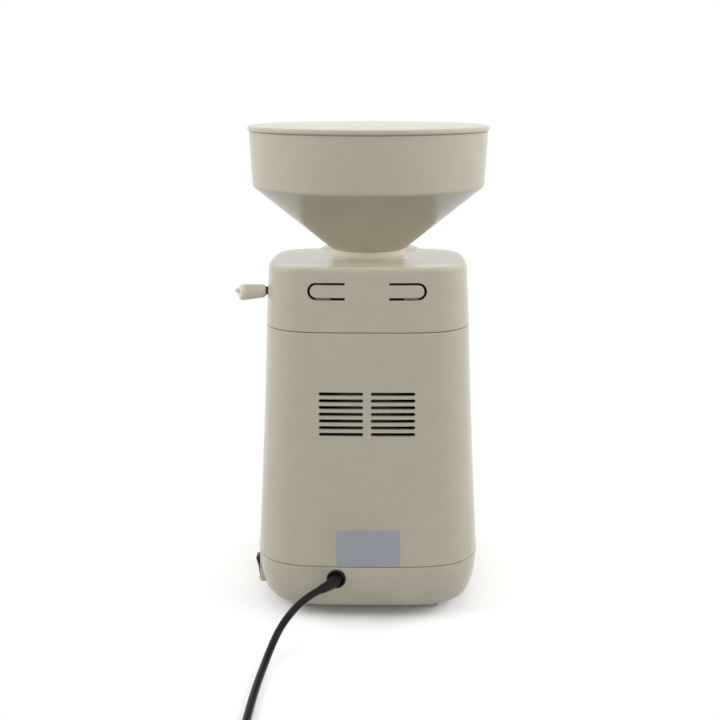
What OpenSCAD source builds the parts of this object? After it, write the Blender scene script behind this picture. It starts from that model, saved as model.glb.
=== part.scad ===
// Electric grain mill: two stones over a vertical motor, hopper on top, flour spout at the front.
// Millimetres, +Z up, back of the mill towards +Y, lever and switch on the +X side.
// Every module is drawn with the shaft as its Z axis; in_frame() then sets the shaft so that the
// origin lies on the floor under the middle of the whole mill.

/* [Feet and base] */
// Height of the rubber feet
foot_h = 9.5; // [7:0.5:14]
// Radius of one rubber foot
foot_r = 7.8; // [6:0.2:9]
// Feet from the shaft, sideways
foot_x = 46; // [40:1:52]
// Feet from the shaft, front to back
foot_y = 55; // [46:1:60]
// Height of the base tray
base_h = 32.7; // [31:0.1:42]
// How far the base tray draws in at its lower edge
base_inset = 7.2; // [4:0.2:10]
// Shape of that lower rounding, where 2 is a quarter ellipse
base_round = 2.3; // [1.8:0.1:3]
// Thickness of the base tray's floor
floor_h = 3; // [2:0.2:5]

/* [Body shells] */
// Half-width of the body at the seam over the base
body_base_half = 82.4; // [78:0.2:90]
// Half-width of the body at the seam under the top cover
body_top_half = 74.4; // [73:0.2:80]
// How much deeper than wide the body is, on each side of the shaft
body_deeper = 4.6; // [2:0.2:10]
// How hollow the flanks are at mid height
flank_hollow = 0.6; // [0:0.1:1.5]
// Squareness of the plan, the exponent of its superellipse
plan_power = 4.3; // [3.6:0.1:5.4]
// Wall of the moulded shells
wall = 2.8; // [2.2:0.1:3.4]
// Height of the motor housing
housing_h = 169.8; // [166:0.2:190]
// Height of the lip that locates one shell in the next
lip_h = 4; // [3:0.5:6]
// Thickness of that lip
lip_t = 1.8; // [1.4:0.1:2.4]
// Clearance around that lip
lip_gap = 0.3; // [0.2:0.05:0.5]

/* [Vents and rating plate] */
// Vent slots in each of the two groups
vent_rows = 7; // [3:1:9]
// Distance from one vent slot to the next
vent_pitch = 4.83; // [4:0.01:6]
// Height of a vent slot
vent_slot_h = 2.3; // [1.6:0.1:3]
// Length of a vent slot
vent_slot_l = 31; // [20:0.5:34]
// Bridge between the two groups
vent_bridge = 5.5; // [3:0.5:9]
// Middle of the vents over the base seam
vent_up = 112; // [90:1:125]
// Width of the blank rating plate
plate_w = 44.7; // [30:0.1:50]
// Height of the rating plate
plate_h = 26.4; // [16:0.1:30]
// Thickness of the rating plate
plate_t = 0.4; // [0.3:0.1:0.8]
// Lean of the rating plate, in degrees
plate_lean = 2.2; // [0:0.1:4]

/* [Top cover] */
// How far the cover draws in at its top edge
cover_draft = 2.2; // [0:0.2:4]
// Fall of the cover's top towards the front, in degrees
cover_fall = 2.9; // [0:0.1:4]
// Rounding of the cover's top edge
cover_edge = 5; // [2:0.5:7]
// Room over the stone carrier
head_room = 7.2; // [6:0.2:12]
// Outer radius of the collar under the hopper
collar_r = 27.3; // [26.4:0.1:29]
// Height of the collar over the cover's top, at the shaft
collar_h = 7.6; // [6:0.1:12]
// Reach of the latch slots from the middle of the back
latch_reach = 41.2; // [34:0.2:44]
// Root of the latch tongues from the middle of the back
latch_root = 15.6; // [12:0.2:20]
// Height of a latch tongue
latch_h = 8.8; // [7:0.1:10]
// Width of the slot round a latch tongue
latch_slot = 1.7; // [1:0.1:2]

/* [Hopper and lid] */
// Radius of the lid
lid_r = 88; // [86.6:0.2:96]
// Thickness of the lid's plate
lid_h = 3.4; // [2.4:0.1:5]
// Shadow gap between lid and hopper
lid_gap = 0.6; // [0.3:0.1:1]
// Depth of the lid's skirt inside the hopper
lid_skirt = 6; // [3:0.5:10]
// Outer radius of the hopper at its rim
rim_r = 86.9; // [84:0.1:88]
// Outer radius of the hopper at its shoulder
shoulder_r = 85.2; // [80:0.1:86.6]
// Height of the hopper's upright wall
rim_h = 39; // [28:0.5:60]
// Height of the hopper's cone
cone_h = 46.2; // [40:0.5:60]
// Outer radius at the foot of the cone
cone_foot_r = 27.9; // [27.4:0.1:30]
// Wall of the hopper
hopper_wall = 2.4; // [1.8:0.1:3]
// Outer radius of the hopper's outlet tube
outlet_r = 24.5; // [22:0.1:25]
// Depth of the outlet tube in the collar
outlet_h = 14; // [9:0.5:15]

/* [Stones and chamber] */
// Radius of the stones
stone_r = 45; // [40:0.5:46]
// Height of one stone
stone_h = 13; // [11:0.5:16]
// Radius of the eye in the stones
stone_eye = 12; // [9:0.5:15]
// Gap between the stones at the finest setting
stone_gap = 0.4; // [0.3:0.05:0.8]
// Room for the sweepers between stone and chamber wall
sweep_room = 9; // [7:0.5:10]
// Wall of the grinding chamber
chamber_wall = 4; // [3:0.5:5]
// Floor of the grinding chamber
chamber_floor_h = 3; // [2.4:0.2:5]
// How far the chamber's floor lies under the cover seam
chamber_drop = 3; // [1:0.5:6]
// Thickness of the runner plate
runner_h = 3.2; // [2.4:0.2:5]
// Thickness of the stone carrier over the stone
carrier_h = 4; // [3:0.2:6]
// Height of the adjusting ring
ring_h = 9.6; // [8.6:0.2:11]
// Width of the outlet duct
duct_w = 44; // [30:1:50]
// Clear height of the outlet duct
duct_h = 15; // [9:0.5:15.4]

/* [Lever] */
// Radius of the lever's stem
stem_r = 3; // [2:0.1:3.6]
// Gap between the knob and the cover's flank
knob_gap = 2.5; // [1.6:0.1:9]
// Length of the knob
knob_l = 22.9; // [16:0.1:34]
// Radius of the knob at its inner end
knob_in_r = 4.6; // [4.2:0.1:6]
// Radius of the knob near its outer end
knob_out_r = 5.9; // [5:0.1:8]
// Angle of the lever at rest, towards the back
lever_rest = 22; // [15:1:25]
// Swing of the lever towards the front
lever_swing = 45; // [30:1:50]

/* [Flour spout] */
// Reach of the spout from the shaft
spout_reach = 121; // [110:1:140]
// Half-width of the spout at the cover
spout_half = 48; // [40:0.5:50]
// Half-width of the spout at its nose
spout_nose = 32; // [24:0.5:38]
// How far the spout's crown stands over the cover's front edge
spout_proud = 3.6; // [2.8:0.1:6]
// How far the spout's sides hang below the cover seam
spout_hang = 12; // [6:0.5:24]
// Wall of the spout
spout_wall = 2.6; // [2:0.1:3.4]

/* [Motor] */
// Room between the motor and the deck's brackets
motor_gap = 3; // [1:0.5:6]
// Height of the stator stack
stator_h = 60; // [44:1:64]
// Radius of the rotor, as a share of the motor's
rotor_share = 0.544; // [0.46:0.002:0.58]
// Radius of the motor shaft
shaft_r = 6; // [5:0.1:7]
// Outer radius of the ball bearings
bearing_r = 16; // [13:0.5:18]
// Width of the ball bearings
bearing_h = 10; // [7:0.5:12]
// Thickness of the deck plate
deck_h = 7; // [5:0.5:9]
// Height of the rubber pads under the deck
pad_h = 3; // [2:0.2:4]
// Radius of the cooling fan
fan_r = 47; // [36:1:49]
// Height of the fan's blades
fan_h = 12; // [8:0.5:14]
// Radius of the run capacitor
capacitor_r = 14.5; // [11:0.5:15]
// Height of the run capacitor
capacitor_h = 42; // [30:1:44]

/* [Switch] */
// Height of the switch's bezel
switch_h = 20.4; // [19:0.1:22]
// Width of the switch's bezel
switch_w = 15; // [14:0.1:18]
// Switch from the shaft, towards the back
switch_y = 42; // [30:1:46]
// Tilt of the rocker each way from level, in degrees
rocker_tilt = 10; // [6:0.5:11]

/* [Mains lead] */
// Diameter of the cord
cord_d = 5.2; // [5:0.1:5.6]
// Radius of the strain relief's flange
gland_r = 7; // [6:0.1:7.4]
// Strain relief from the middle of the back
gland_x = 22; // [14:0.5:28]
// Loops in the tied coil
coil_turns = 6.25; // [4.25:1:8.25]
// Radius of the innermost loop
coil_in_r = 23; // [21:0.5:26]

/* [Hidden] */
$fn = 64;
// Points round a plan outline
plan_n = 56;
// Clearance of sliding pieces, of running fits and of screws in their holes
slide_gap = 0.3;
run_fit = 0.03;
screw_gap = 0.2;
// A cut runs this far past the face that it leaves
past = 1;

beige = [0.66, 0.64, 0.57];
beige_knob = [0.72, 0.70, 0.62];
black = [0.06, 0.06, 0.06];
steel = [0.62, 0.63, 0.65];
aluminium = [0.72, 0.73, 0.74];
stone_grey = [0.80, 0.79, 0.75];
rubber_grey = [0.60, 0.59, 0.54];
copper = [0.66, 0.36, 0.20];

// Heights, from the floor up
floor_z = foot_h + floor_h;
base_seam = foot_h + base_h;
cover_seam = base_seam + housing_h;
chamber_top_floor = cover_seam - chamber_drop;
chamber_z = chamber_top_floor - chamber_floor_h;
deck_z = chamber_z - deck_h;
pad_z = deck_z - pad_h;
sweep_gap = 0.8;
runner_z = chamber_top_floor + sweep_gap;
lower_stone_z = runner_z + runner_h;
mill_z = lower_stone_z + stone_h;
upper_stone_z = mill_z + stone_gap;
carrier_z = upper_stone_z + stone_h;
carrier_top = carrier_z + carrier_h;
cover_ceiling = carrier_top + head_room;
cover_top = cover_ceiling + wall;
cover_h = cover_top - cover_seam;
cover_top_half = body_top_half - cover_draft;
fall = tan(cover_fall);
collar_top = cover_top + collar_h;
shoulder_z = collar_top + cone_h;
rim_z = shoulder_z + rim_h;
lid_z = rim_z + lid_gap;

// Stones, chamber and adjusting ring
chamber_r = stone_r + sweep_room;
chamber_out = chamber_r + chamber_wall;
chamber_top = mill_z + 2;
ring_z = chamber_top + slide_gap;
lever_z = ring_z + ring_h / 2;
carrier_wall = 3.2;
carrier_out = stone_r + slide_gap + carrier_wall;
thread_pitch = 5;
stone_lift = thread_pitch * lever_swing / 360;
guide_at = 36;
guide_r = 2;
collar_in = outlet_r + slide_gap;
duct_wall = 2.5;
duct_top = chamber_top_floor + duct_h;
duct_roof = duct_top + duct_wall;
ear_at = chamber_out + 3.4;
ear_r = 5;

// Deck, and the housing's brackets under it, one on each side
deck_gap = 0.5;
deck_half = body_top_half - wall - lip_gap - lip_t - deck_gap;
bracket_w = 20;
bracket_h = 12;
bracket_edge = 4;
bracket_at = deck_half - bracket_edge;
bracket_in = bracket_at - 5;
bracket_pad_r = 3.9;

// Motor, hung under the deck between the brackets
motor_r = bracket_in - motor_gap;
rotor_r = motor_r * rotor_share;
shield_h = 8;
upper_skirt = 27;
lower_skirt = 22;
shield_wall = 6.6;
shield_z = deck_z - shield_h;
stator_top = shield_z - upper_skirt;
stator_z = stator_top - stator_h;
lower_shield_z = stator_z - lower_skirt - shield_h;
bolt_at = motor_r - 3.3;
bolt_r = 2;
bolt_head = 3;
winding_in = rotor_r + 4;
winding_h = 13;
fan_z = lower_shield_z - 4 - fan_h;
shaft_z = fan_z - 3;
seal_r = shaft_r + 4;
screw_r = 1.9;
head_r = 3.4;
head_h = 2.4;

// Base: screws, gland and switch
base_screw_x = 40;
base_screw_y = 72;
base_boss_r = 5;
gland_z = base_seam - gland_r - 1.9;
gland_y = back_y(base_half(gland_z), gland_x);
gland_bore = 5.4;
bush_l = 10.8;
clamp_back = 20.8;
clamp_deep = 10;
switch_z = base_seam - 17;
switch_inset = 1;
switch_face = body_base_half - switch_inset;
switch_deep = 21;
switch_tab = 5;
bezel_t = 1.6;
rocker_l = 16;
rocker_w = 9.6;
rocker_x = switch_face - 1.9;
pin_r = 1.2;
capacitor_room = 13.9;
capacitor_x = capacitor_r + capacitor_room - body_base_half;

// Lever
knob_from = body_top_half + knob_gap;
knob_to = knob_from + knob_l;
nub_l = 2.6;
nub_r = 1.8;
stem_in = stone_r + 5.5;
lever_slot_h = 2 * knob_in_r + 1.4;

// Coil, tie and plug
coil_pitch = cord_d + 0.7;
coil_layer = cord_d + 0.6;
coil_low = cord_d / 2 + 1;
coil_out_r = coil_in_r + coil_pitch * coil_turns / 2;
coil_rings = 24;
cord_lane = 71.8;
coil_back = 213.2;
coil_y = gland_y + coil_back;
coil_x = cord_lane - coil_out_r;
plug_w = 36;
plug_h = 2 * (coil_low + coil_layer);
plug_l = 17;
plug_taper = 22;
plug_neck = 12;
pin_l = 19;
pin_gap = 19;

// The shaft in the frame: under the middle of lid edge to lever tip, and of back to spout
shaft_at = [(lid_r - (knob_to + nub_l) * cos(lever_rest)) / 2,
            (spout_reach - body_base_half - body_deeper) / 2, 0];

// Cord: share of the way across to its lane, distance behind the back wall, share of the drop to the floor,
// share of the rise to the coil; the first points are the strain relief's
cord_low = cord_d / 2 + 0.2;
function cord_points(steps) = [for (s = steps) [gland_x + s[0] * (cord_lane - gland_x), gland_y + s[1],
    cord_low + s[2] * (gland_z - cord_low) + s[3] * (coil_low - cord_low)]];
sleeve_route = cord_points([[0, 1.2, 1, 0], [0.008, 4.8, 1.006, 0], [0.038, 8.7, 1.01, 0],
    [0.1, 12.65, 1.003, 0], [0.2, 16.25, 0.984, 0]]);
cord_route = cord_points([[0.2, 16.25, 0.984, 0], [0.285, 19.31, 0.968, 0], [0.374, 22.15, 0.905, 0],
    [0.528, 26.75, 0.734, 0], [0.659, 31.65, 0.531, 0], [0.763, 38.15, 0.328, 0], [0.831, 47.25, 0.157, 0],
    [0.876, 58.25, 0.053, 0], [0.908, 70.75, 0.007, 0], [0.932, 83.75, 0, 0], [0.952, 97.25, 0, 0],
    [0.968, 111.25, 0, 0], [0.98, 125.25, 0, 0], [0.988, 139.25, 0, 0], [0.994, 153.25, 0, 0],
    [0.998, 167.25, 0, 0.12], [1, 181.25, 0, 0.5], [1, 195.25, 0, 1], [1, coil_back - cord_d, 0, 1]]);

// Signed power, for superellipses
function spow(v, p) = sign(v) * pow(abs(v), p);
// Half-width of the outer wall at height z: base tray, motor housing, top cover
function base_half(z) = let (s = min(1, max(0, (base_seam - z) / base_h)))
    body_base_half - base_inset * (1 - pow(1 - pow(s, base_round), 1 / base_round));
function housing_half(z) = let (u = (z - base_seam) / housing_h)
    body_base_half + (body_top_half - body_base_half) * u - 4 * flank_hollow * u * (1 - u);
function cover_half(z) = body_top_half + (cover_top_half - body_top_half) * (z - cover_seam) / cover_h;
// Where the back wall of a given half-width lies at x
function back_y(half, x) = (half + body_deeper) * pow(1 - pow(abs(x) / half, plan_power), 1 / plan_power);
// Plan outline: a superellipse at height z, whose height may fall towards the front
function outline(half, z, lean = 0) = [for (k = [0:plan_n - 1])
    let (a = 360 * k / plan_n,
         x = half * spow(cos(a), 2 / plan_power),
         y = (half + body_deeper) * spow(sin(a), 2 / plan_power))
    [x, y, z + lean * y]];
// Sum of a list of points
function total(v, i = 0) = i < len(v) ? v[i] + total(v, i + 1) : [0, 0, 0];

// Closed solid through a stack of rings of points, capped at both ends or looped back to its start
module stack(rings, loop = false) {
    n = len(rings[0]);
    m = len(rings);
    spans = loop ? m : m - 1;
    sides = [for (j = [0:spans - 1], i = [0:n - 1])
        let (i2 = (i + 1) % n, j2 = (j + 1) % m, a = j * n + i, b = j * n + i2, c = j2 * n + i2, d = j2 * n + i)
        each [[a, d, c], [a, c, b]]];
    caps = [for (i = [0:n - 1])
        let (i2 = (i + 1) % n)
        each [[m * n, i, i2], [m * n + 1, (m - 1) * n + i2, (m - 1) * n + i]]];
    mids = [total(rings[0]) / n, total(rings[m - 1]) / n];
    points = [for (r = rings) each r];
    polyhedron(points = loop ? points : concat(points, mids), faces = loop ? sides : concat(sides, caps));
}

// Rings of a round tube that follows a list of points
function unit(v) = v / norm(v);
function heading(path, i) = unit(path[min(i + 1, len(path) - 1)] - path[max(i - 1, 0)]);
function tube_rings(path, radii, sides) = [for (i = [0:len(path) - 1])
    let (along = heading(path, i), side = unit(cross([0, 0, 1], along)), up = cross(along, side))
    [for (k = [0:sides - 1])
        let (a = 360 * k / sides)
        path[i] + radii[i] * (cos(a) * side + sin(a) * up)]];
module tube(path, r, sides) stack(tube_rings(path, [for (p = path) r], sides));

// Rounded rectangle, centred
module rounded(w, h, r) {
    square([w - 2 * r, h], center = true);
    square([w, h - 2 * r], center = true);
    for (x = [-1, 1], y = [-1, 1]) translate([x * (w / 2 - r), y * (h / 2 - r)]) circle(r);
}
// Copies at both signs of x and y, at a ring of angles, and on the four sides of the body
module corners(x, y) for (a = [-1, 1], b = [-1, 1]) translate([a * x, b * y, 0]) children();
module around(count, at, from = 0) for (k = [0:count - 1]) rotate(from + 360 * k / count)
    translate([at, 0, 0]) children();
module four_sides(at) {
    for (a = [0, 180]) rotate(a) translate([at, 0, 0]) children();
    for (a = [90, 270]) rotate(a) translate([at + body_deeper, 0, 0]) children();
}
// Machine screw along Z: shank from z0 up to the head's seat, head above it
module screw(z0, seat, r = screw_r, head = head_r, high = head_h) {
    translate([0, 0, z0]) cylinder(r = r, h = seat - z0);
    difference() {
        translate([0, 0, seat]) cylinder(r = head, h = high);
        translate([0, 0, seat + high / 2]) cylinder(r = head / 2, h = high, $fn = 6);
    }
}
module ring_of(r1, r2, h) difference() {
    cylinder(r = r2, h = h);
    translate([0, 0, -past]) cylinder(r = r1, h = h + 2 * past);
}

// Hopper and lid
rim_in = rim_r - hopper_wall;
module hopper_lid() color(beige) rotate_extrude() polygon(concat(
    [[0, lid_z], [rim_in - 2.8, lid_z], [rim_in - 2.8, rim_z - lid_skirt], [rim_in - 0.8, rim_z - lid_skirt]],
    [[rim_in - 0.8, lid_z], [rim_in + 0.2, lid_z], [rim_in + 0.2, rim_z], [rim_r - 0.8, rim_z]],
    [[rim_r - 0.8, lid_z], [lid_r - 0.4, lid_z], [lid_r, lid_z + 0.4]],
    [for (a = [0:30:90]) [lid_r - 1 + cos(a), lid_z + lid_h - 1 + sin(a)]],
    [[0, lid_z + lid_h]]));

// Hopper: outlet tube, foot on the collar, cone, rounded shoulder and drafted wall
shoulder_round = 3;
cone_tilt = atan2(cone_h, shoulder_r - cone_foot_r);
// Its skin, moved inwards by off
function hopper_skin(off) = concat(
    [[cone_foot_r - off / sin(cone_tilt), collar_top]],
    [for (k = [0:4])
        let (a = -90 + cone_tilt + (90 - cone_tilt) * k / 4, r = shoulder_round - off)
        [shoulder_r - shoulder_round + r * cos(a), shoulder_z + r * sin(a)]],
    [[rim_r - off, rim_z]]);
function reversed(v) = [for (i = [len(v) - 1:-1:0]) v[i]];
module hopper() color(beige) rotate_extrude() polygon(concat(
    [[outlet_r - hopper_wall, collar_top - outlet_h], [outlet_r, collar_top - outlet_h]],
    [[outlet_r, collar_top]], hopper_skin(0), reversed(hopper_skin(hopper_wall))));

// Top cover: shell with a falling top, collar, lever slot, latch slots and the opening for the duct
function cover_flank(steps) = [for (u = steps)
    let (z = cover_seam + u * (cover_h - cover_edge))
    outline(cover_half(z), z, u * fall)];
function cover_outer() = concat(cover_flank([0, 0.4, 0.8]),
    [for (a = [0:22.5:90]) outline(cover_top_half - cover_edge * (1 - cos(a)),
        cover_top - cover_edge * (1 - sin(a)), fall)]);
function cover_inner() = [outline(cover_top_half - wall - 2, cover_ceiling, fall),
    outline(cover_top_half - wall, cover_ceiling - 2, fall),
    outline(body_top_half - wall, cover_seam, 0)];
latch_z = cover_seam + 28.6;
module latch_shape(grow) {
    reach = latch_reach - latch_slot + grow;
    high = latch_h + 2 * grow;
    root = latch_root - (grow > 0 ? slide_gap : 0);
    translate([root, -high / 2]) square([reach - high / 2 - root, high]);
    translate([reach - high / 2, 0]) circle(high / 2);
}
// Upright prism of a flat shape in the back wall
module back_prism() translate([0, body_top_half + body_deeper + past, latch_z]) rotate([90, 0, 0])
    linear_extrude(wall + 8) children();
// Slot from beside the knob at rest to beside the knob at the end of its swing
module lever_slot() {
    edge = body_top_half - wall;
    round = lever_slot_h / 2;
    back = edge * tan(lever_rest) + knob_in_r + 2 - round;
    front = edge * tan(lever_rest - lever_swing) - knob_in_r - 2 + round;
    for (y = [back, front]) translate([edge - 8, y, lever_z])
        rotate([0, 90, 0]) cylinder(r = round, h = 20);
    translate([edge - 8, front, lever_z - round]) cube([20, back - front, lever_slot_h]);
}
module spout_screw_holes(r) for (x = [-1, 1])
    translate([x * spout_screw_x, -spout_front, spout_screw_z])
    rotate([90, 0, 0]) translate([0, 0, -14]) cylinder(r = r, h = 12 + spout_boss);
spout_boss = 10;
module top_cover() color(beige) difference() {
    union() {
        stack(concat(cover_inner(), cover_outer()));
        translate([0, 0, cover_ceiling]) cylinder(r = collar_r, h = collar_top - cover_ceiling);
        for (a = [90, 210, 330]) rotate(a) translate([guide_at, 0, boss_z])
            cylinder(r = guide_r + 2.4, h = cover_ceiling + wall / 2 + guide_at * sin(a) * fall - boss_z);
    }
    translate([0, 0, cover_ceiling - guide_at]) cylinder(r = collar_in, h = collar_h + 2 * guide_at);
    around(3, guide_at, 90) translate([0, 0, carrier_top]) cylinder(r = guide_r, h = guide_pin_up);
    lever_slot();
    back_prism() latch_shape(latch_slot);
    mirror([1, 0, 0]) back_prism() latch_shape(latch_slot);
    translate([-duct_w / 2 - slide_gap, -spout_reach, cover_seam - past])
        cube([duct_w + 2 * slide_gap, spout_reach - chamber_out - 4,
            duct_roof + slide_gap - cover_seam + past]);
    spout_screw_holes(screw_r - 0.4);
}
guide_pin_up = head_room - guide_at * fall;
boss_z = carrier_top + stone_lift + 1.6;

// Latch tongues: pieces of the cover's back wall, free at their outer ends
module latch_tongue() color(beige) intersection() {
    stack(concat([cover_inner()[1], cover_inner()[2]], cover_flank([0, 0.4, 0.8, 1])), loop = true);
    back_prism() latch_shape(0);
}
module latch_tongue_left() latch_tongue();
module latch_tongue_right() mirror([1, 0, 0]) latch_tongue();

// Flour spout: a square-shouldered hood with a level crown and a dropping nose, open at its back and underneath
spout_front = body_top_half + body_deeper;
spout_screw_x = spout_half - 7;
spout_screw_z = cover_seam + 20;
spout_top = cover_top - (body_top_half + body_deeper) * fall + spout_proud;
spout_low = cover_seam - spout_hang;
spout_power = 7;
function arch(y, half, top, low) = [for (k = [0:35]) let (a = 10 * k)
    [half * spow(cos(a), 2 / spout_power), y, low + (top - low) * max(0, spow(sin(a), 2 / spout_power))]];
// Share of the way to the nose, and how far width and height have dropped there
spout_steps = [[-0.5, 0, 0], [0, 0, 0], [0.3, 0.16, 0.06], [0.6, 0.42, 0.24], [0.85, 0.72, 0.55],
    [1, 1, 1]];
spout_drop = 23;
function spout_rings(off, low) = [for (s = spout_steps)
    arch(4 - spout_front - s[0] * (spout_reach - off - spout_front + 4),
        spout_half - off - s[1] * (spout_half - spout_nose), spout_top - off - s[2] * spout_drop, low)];
module flour_spout() color(beige) difference() {
    stack(spout_rings(0, spout_low));
    difference() {
        stack(spout_rings(spout_wall, spout_low - 5));
        for (x = [-1, 1])
            translate([x * spout_screw_x - 6, -spout_front - spout_boss, spout_screw_z - 6])
            cube([12, spout_boss + 10, 12]);
    }
    stack(cover_outer());
    stack([for (z = [cover_seam - 40, cover_seam]) outline(housing_half(z) + slide_gap, z)]);
    spout_screw_holes(screw_r - 0.4);
}
module spout_screws() color(steel) for (x = [-1, 1])
    translate([x * spout_screw_x, 2 * slide_gap - back_y(cover_half(spout_screw_z) - wall,
        spout_screw_x + head_r), spout_screw_z])
    rotate([-90, 0, 0]) screw(-wall - spout_boss + 3, 0, screw_r - 0.6, head_r - 0.4);

// Motor housing: drafted shell with lip, vents, deck brackets, screw bosses, duct notch and latch posts
housing_levels = [0, 0.2, 0.4, 0.6, 0.8, 1];
function housing_outer(off) = [for (u = housing_levels)
    let (z = base_seam + u * housing_h) outline(housing_half(z) + off, z)];
function housing_inner() = [outline(body_top_half - wall - lip_gap, cover_seam),
    outline(body_top_half - wall - lip_gap, cover_seam + lip_h),
    outline(body_top_half - wall - lip_gap - lip_t, cover_seam + lip_h),
    outline(body_top_half - wall - lip_gap - lip_t, cover_seam - 3),
    outline(housing_half(cover_seam - 6) - wall, cover_seam - 6),
    outline(housing_half(base_seam + housing_h / 2) - wall, base_seam + housing_h / 2),
    outline(body_base_half - wall, base_seam)];
vent_z = base_seam + vent_up;
module vent_slots() for (x = [-1, 1], k = [0:vent_rows - 1])
    translate([x * (vent_bridge + vent_slot_l) / 2, body_base_half + body_deeper,
        vent_z + (k - (vent_rows - 1) / 2) * vent_pitch])
    rotate([90, 0, 0]) linear_extrude(body_base_half - body_top_half + wall + 6) {
        square([vent_slot_l - vent_slot_h, vent_slot_h], center = true);
        for (end = [-1, 1]) translate([end * (vent_slot_l - vent_slot_h) / 2, 0]) circle(d = vent_slot_h);
    }
latch_post_top = latch_z - latch_h / 2 - 0.4;
latch_post_x = [25.4, 35.6];
latch_post_y = back_y(cover_top_half - wall, latch_post_x[1]) - 0.6;
module motor_housing() color(beige) difference() {
    union() {
        stack(concat(housing_outer(0), housing_inner()), loop = true);
        four_sides(bracket_in) translate([0, -bracket_w / 2, pad_z - bracket_h])
            cube([housing_half(pad_z) - wall / 2 - bracket_in, bracket_w, bracket_h]);
        corners(base_screw_x, base_screw_y) translate([0, 0, base_seam + lip_h + 1])
            cylinder(r = base_boss_r, h = 16);
        for (x = [-1, 1], y = [0, 1]) mirror([0, y, 0])
            translate([x * base_screw_x - 2, base_screw_y, base_seam + lip_h + 1])
            cube([4, back_y(housing_half(base_seam + 21), base_screw_x) - wall / 2 - base_screw_y, 16]);
        for (x = [0, 1]) mirror([x, 0, 0]) translate([latch_post_x[0],
            latch_post_y - 2, cover_seam - 2]) {
            cube([latch_post_x[1] - latch_post_x[0], 2, latch_post_top - cover_seam + 2]);
            cube([latch_post_x[1] - latch_post_x[0], 3.4, lip_h + 1]);
        }
    }
    vent_slots();
    translate([-duct_w / 2 - slide_gap, -spout_reach, chamber_z - slide_gap])
        cube([duct_w + 2 * slide_gap, spout_reach - chamber_out - 4, cover_h]);
    four_sides(bracket_at) translate([0, 0, pad_z - bracket_h - past])
        cylinder(r = screw_r + run_fit, h = bracket_h + 2 * past);
    corners(base_screw_x, base_screw_y) translate([0, 0, base_seam])
        cylinder(r = screw_r + run_fit, h = 19);
}
module rating_plate() color([0.56, 0.57, 0.60]) intersection() {
    stack(concat(housing_outer(plate_t), reversed(housing_outer(0))), loop = true);
    translate([-1.2, body_base_half + body_deeper + past, base_seam + plate_h / 2 + 1.7])
        rotate([90, plate_lean, 0]) linear_extrude(20) square([plate_w, plate_h], center = true);
}

// Base tray: shell with floor, lip, screw bosses, switch seat, gland hole, capacitor cup and air slots
base_levels = [1, 0.985, 0.94, 0.87, 0.77, 0.62, 0.42, 0.2, 0];
function base_outer() = [for (s = base_levels) let (z = base_seam - s * base_h) outline(base_half(z), z)];
function base_inner() = [outline(body_base_half - wall - lip_gap, base_seam),
    outline(body_base_half - wall - lip_gap, base_seam + lip_h),
    outline(body_base_half - wall - lip_gap - lip_t, base_seam + lip_h),
    outline(body_base_half - wall - lip_gap - lip_t, base_seam - 3),
    outline(base_half(floor_z + 8) - wall, floor_z + 8),
    outline(base_half(floor_z) - wall - 2, floor_z)];
seat_h = 27;
seat_w = 21;
module gland_place() translate([gland_x, gland_y, gland_z]) rotate([-90, 0, 0]) children();
module base_tray() color(beige) difference() {
    union() {
        stack(concat(base_outer(), base_inner()));
        corners(base_screw_x, base_screw_y) translate([0, 0, floor_z - past])
            cylinder(r = base_boss_r + 1, h = base_seam - floor_z + past);
        translate([switch_face - 10, switch_y - seat_w / 2, switch_z - seat_h / 2 - 1])
            cube([10, seat_w, seat_h]);
        translate([capacitor_x, 0, floor_z - past]) cylinder(r = capacitor_r + 2.4, h = 8 + past);
        gland_place() translate([0, 0, -3]) cylinder(r = gland_r + 0.5, h = 3.3);
    }
    translate([switch_face - 30, switch_y - body_w / 2 - screw_gap, switch_z - body_tall / 2 - screw_gap])
        cube([40, body_w + 2 * screw_gap, body_tall + 2 * screw_gap]);
    translate([switch_face - 30, switch_y - seat_w / 2 + 2, switch_z - seat_h / 2 + 1])
        cube([30 - wall, seat_w - 4, seat_h - 4]);
    translate([switch_face, switch_y - seat_w / 2, switch_z - seat_h / 2 - 1])
        cube([10, seat_w, seat_h]);
    gland_place() translate([0, 0, -20]) cylinder(r = gland_bore + 0.1, h = 30);
    corners(base_screw_x, base_screw_y) translate([0, 0, foot_h - past]) {
        cylinder(r = screw_r + screw_gap, h = base_h + 2 * past);
        cylinder(r = head_r + 1, h = 6);
    }
    corners(foot_x, foot_y) translate([0, 0, foot_h - past])
        cylinder(r = foot_stud_r + 0.1, h = floor_h + 2 * past);
    translate([capacitor_x, 0, floor_z]) cylinder(r = capacitor_r + slide_gap, h = 10);
    for (k = [-3:3]) translate([k * 7 - 1.5, -26, foot_h - past]) cube([3, 40, floor_h + 2 * past]);
}
foot_stud_r = 2.4;
module rubber_feet() color(rubber_grey) corners(foot_x, foot_y) rotate_extrude() polygon([
    [0, 0], [foot_r - 0.6, 0], [foot_r, 0.6], [foot_r - 0.4, foot_h], [foot_stud_r, foot_h],
    [foot_stud_r, floor_z], [foot_stud_r + 1, floor_z], [foot_stud_r, floor_z + 1.6], [0, floor_z + 1.6]]);
module base_screws() color(steel) corners(base_screw_x, base_screw_y) translate([0, 0, foot_h + 5])
    mirror([0, 0, 1]) screw(-base_h - 10, 0);

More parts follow.
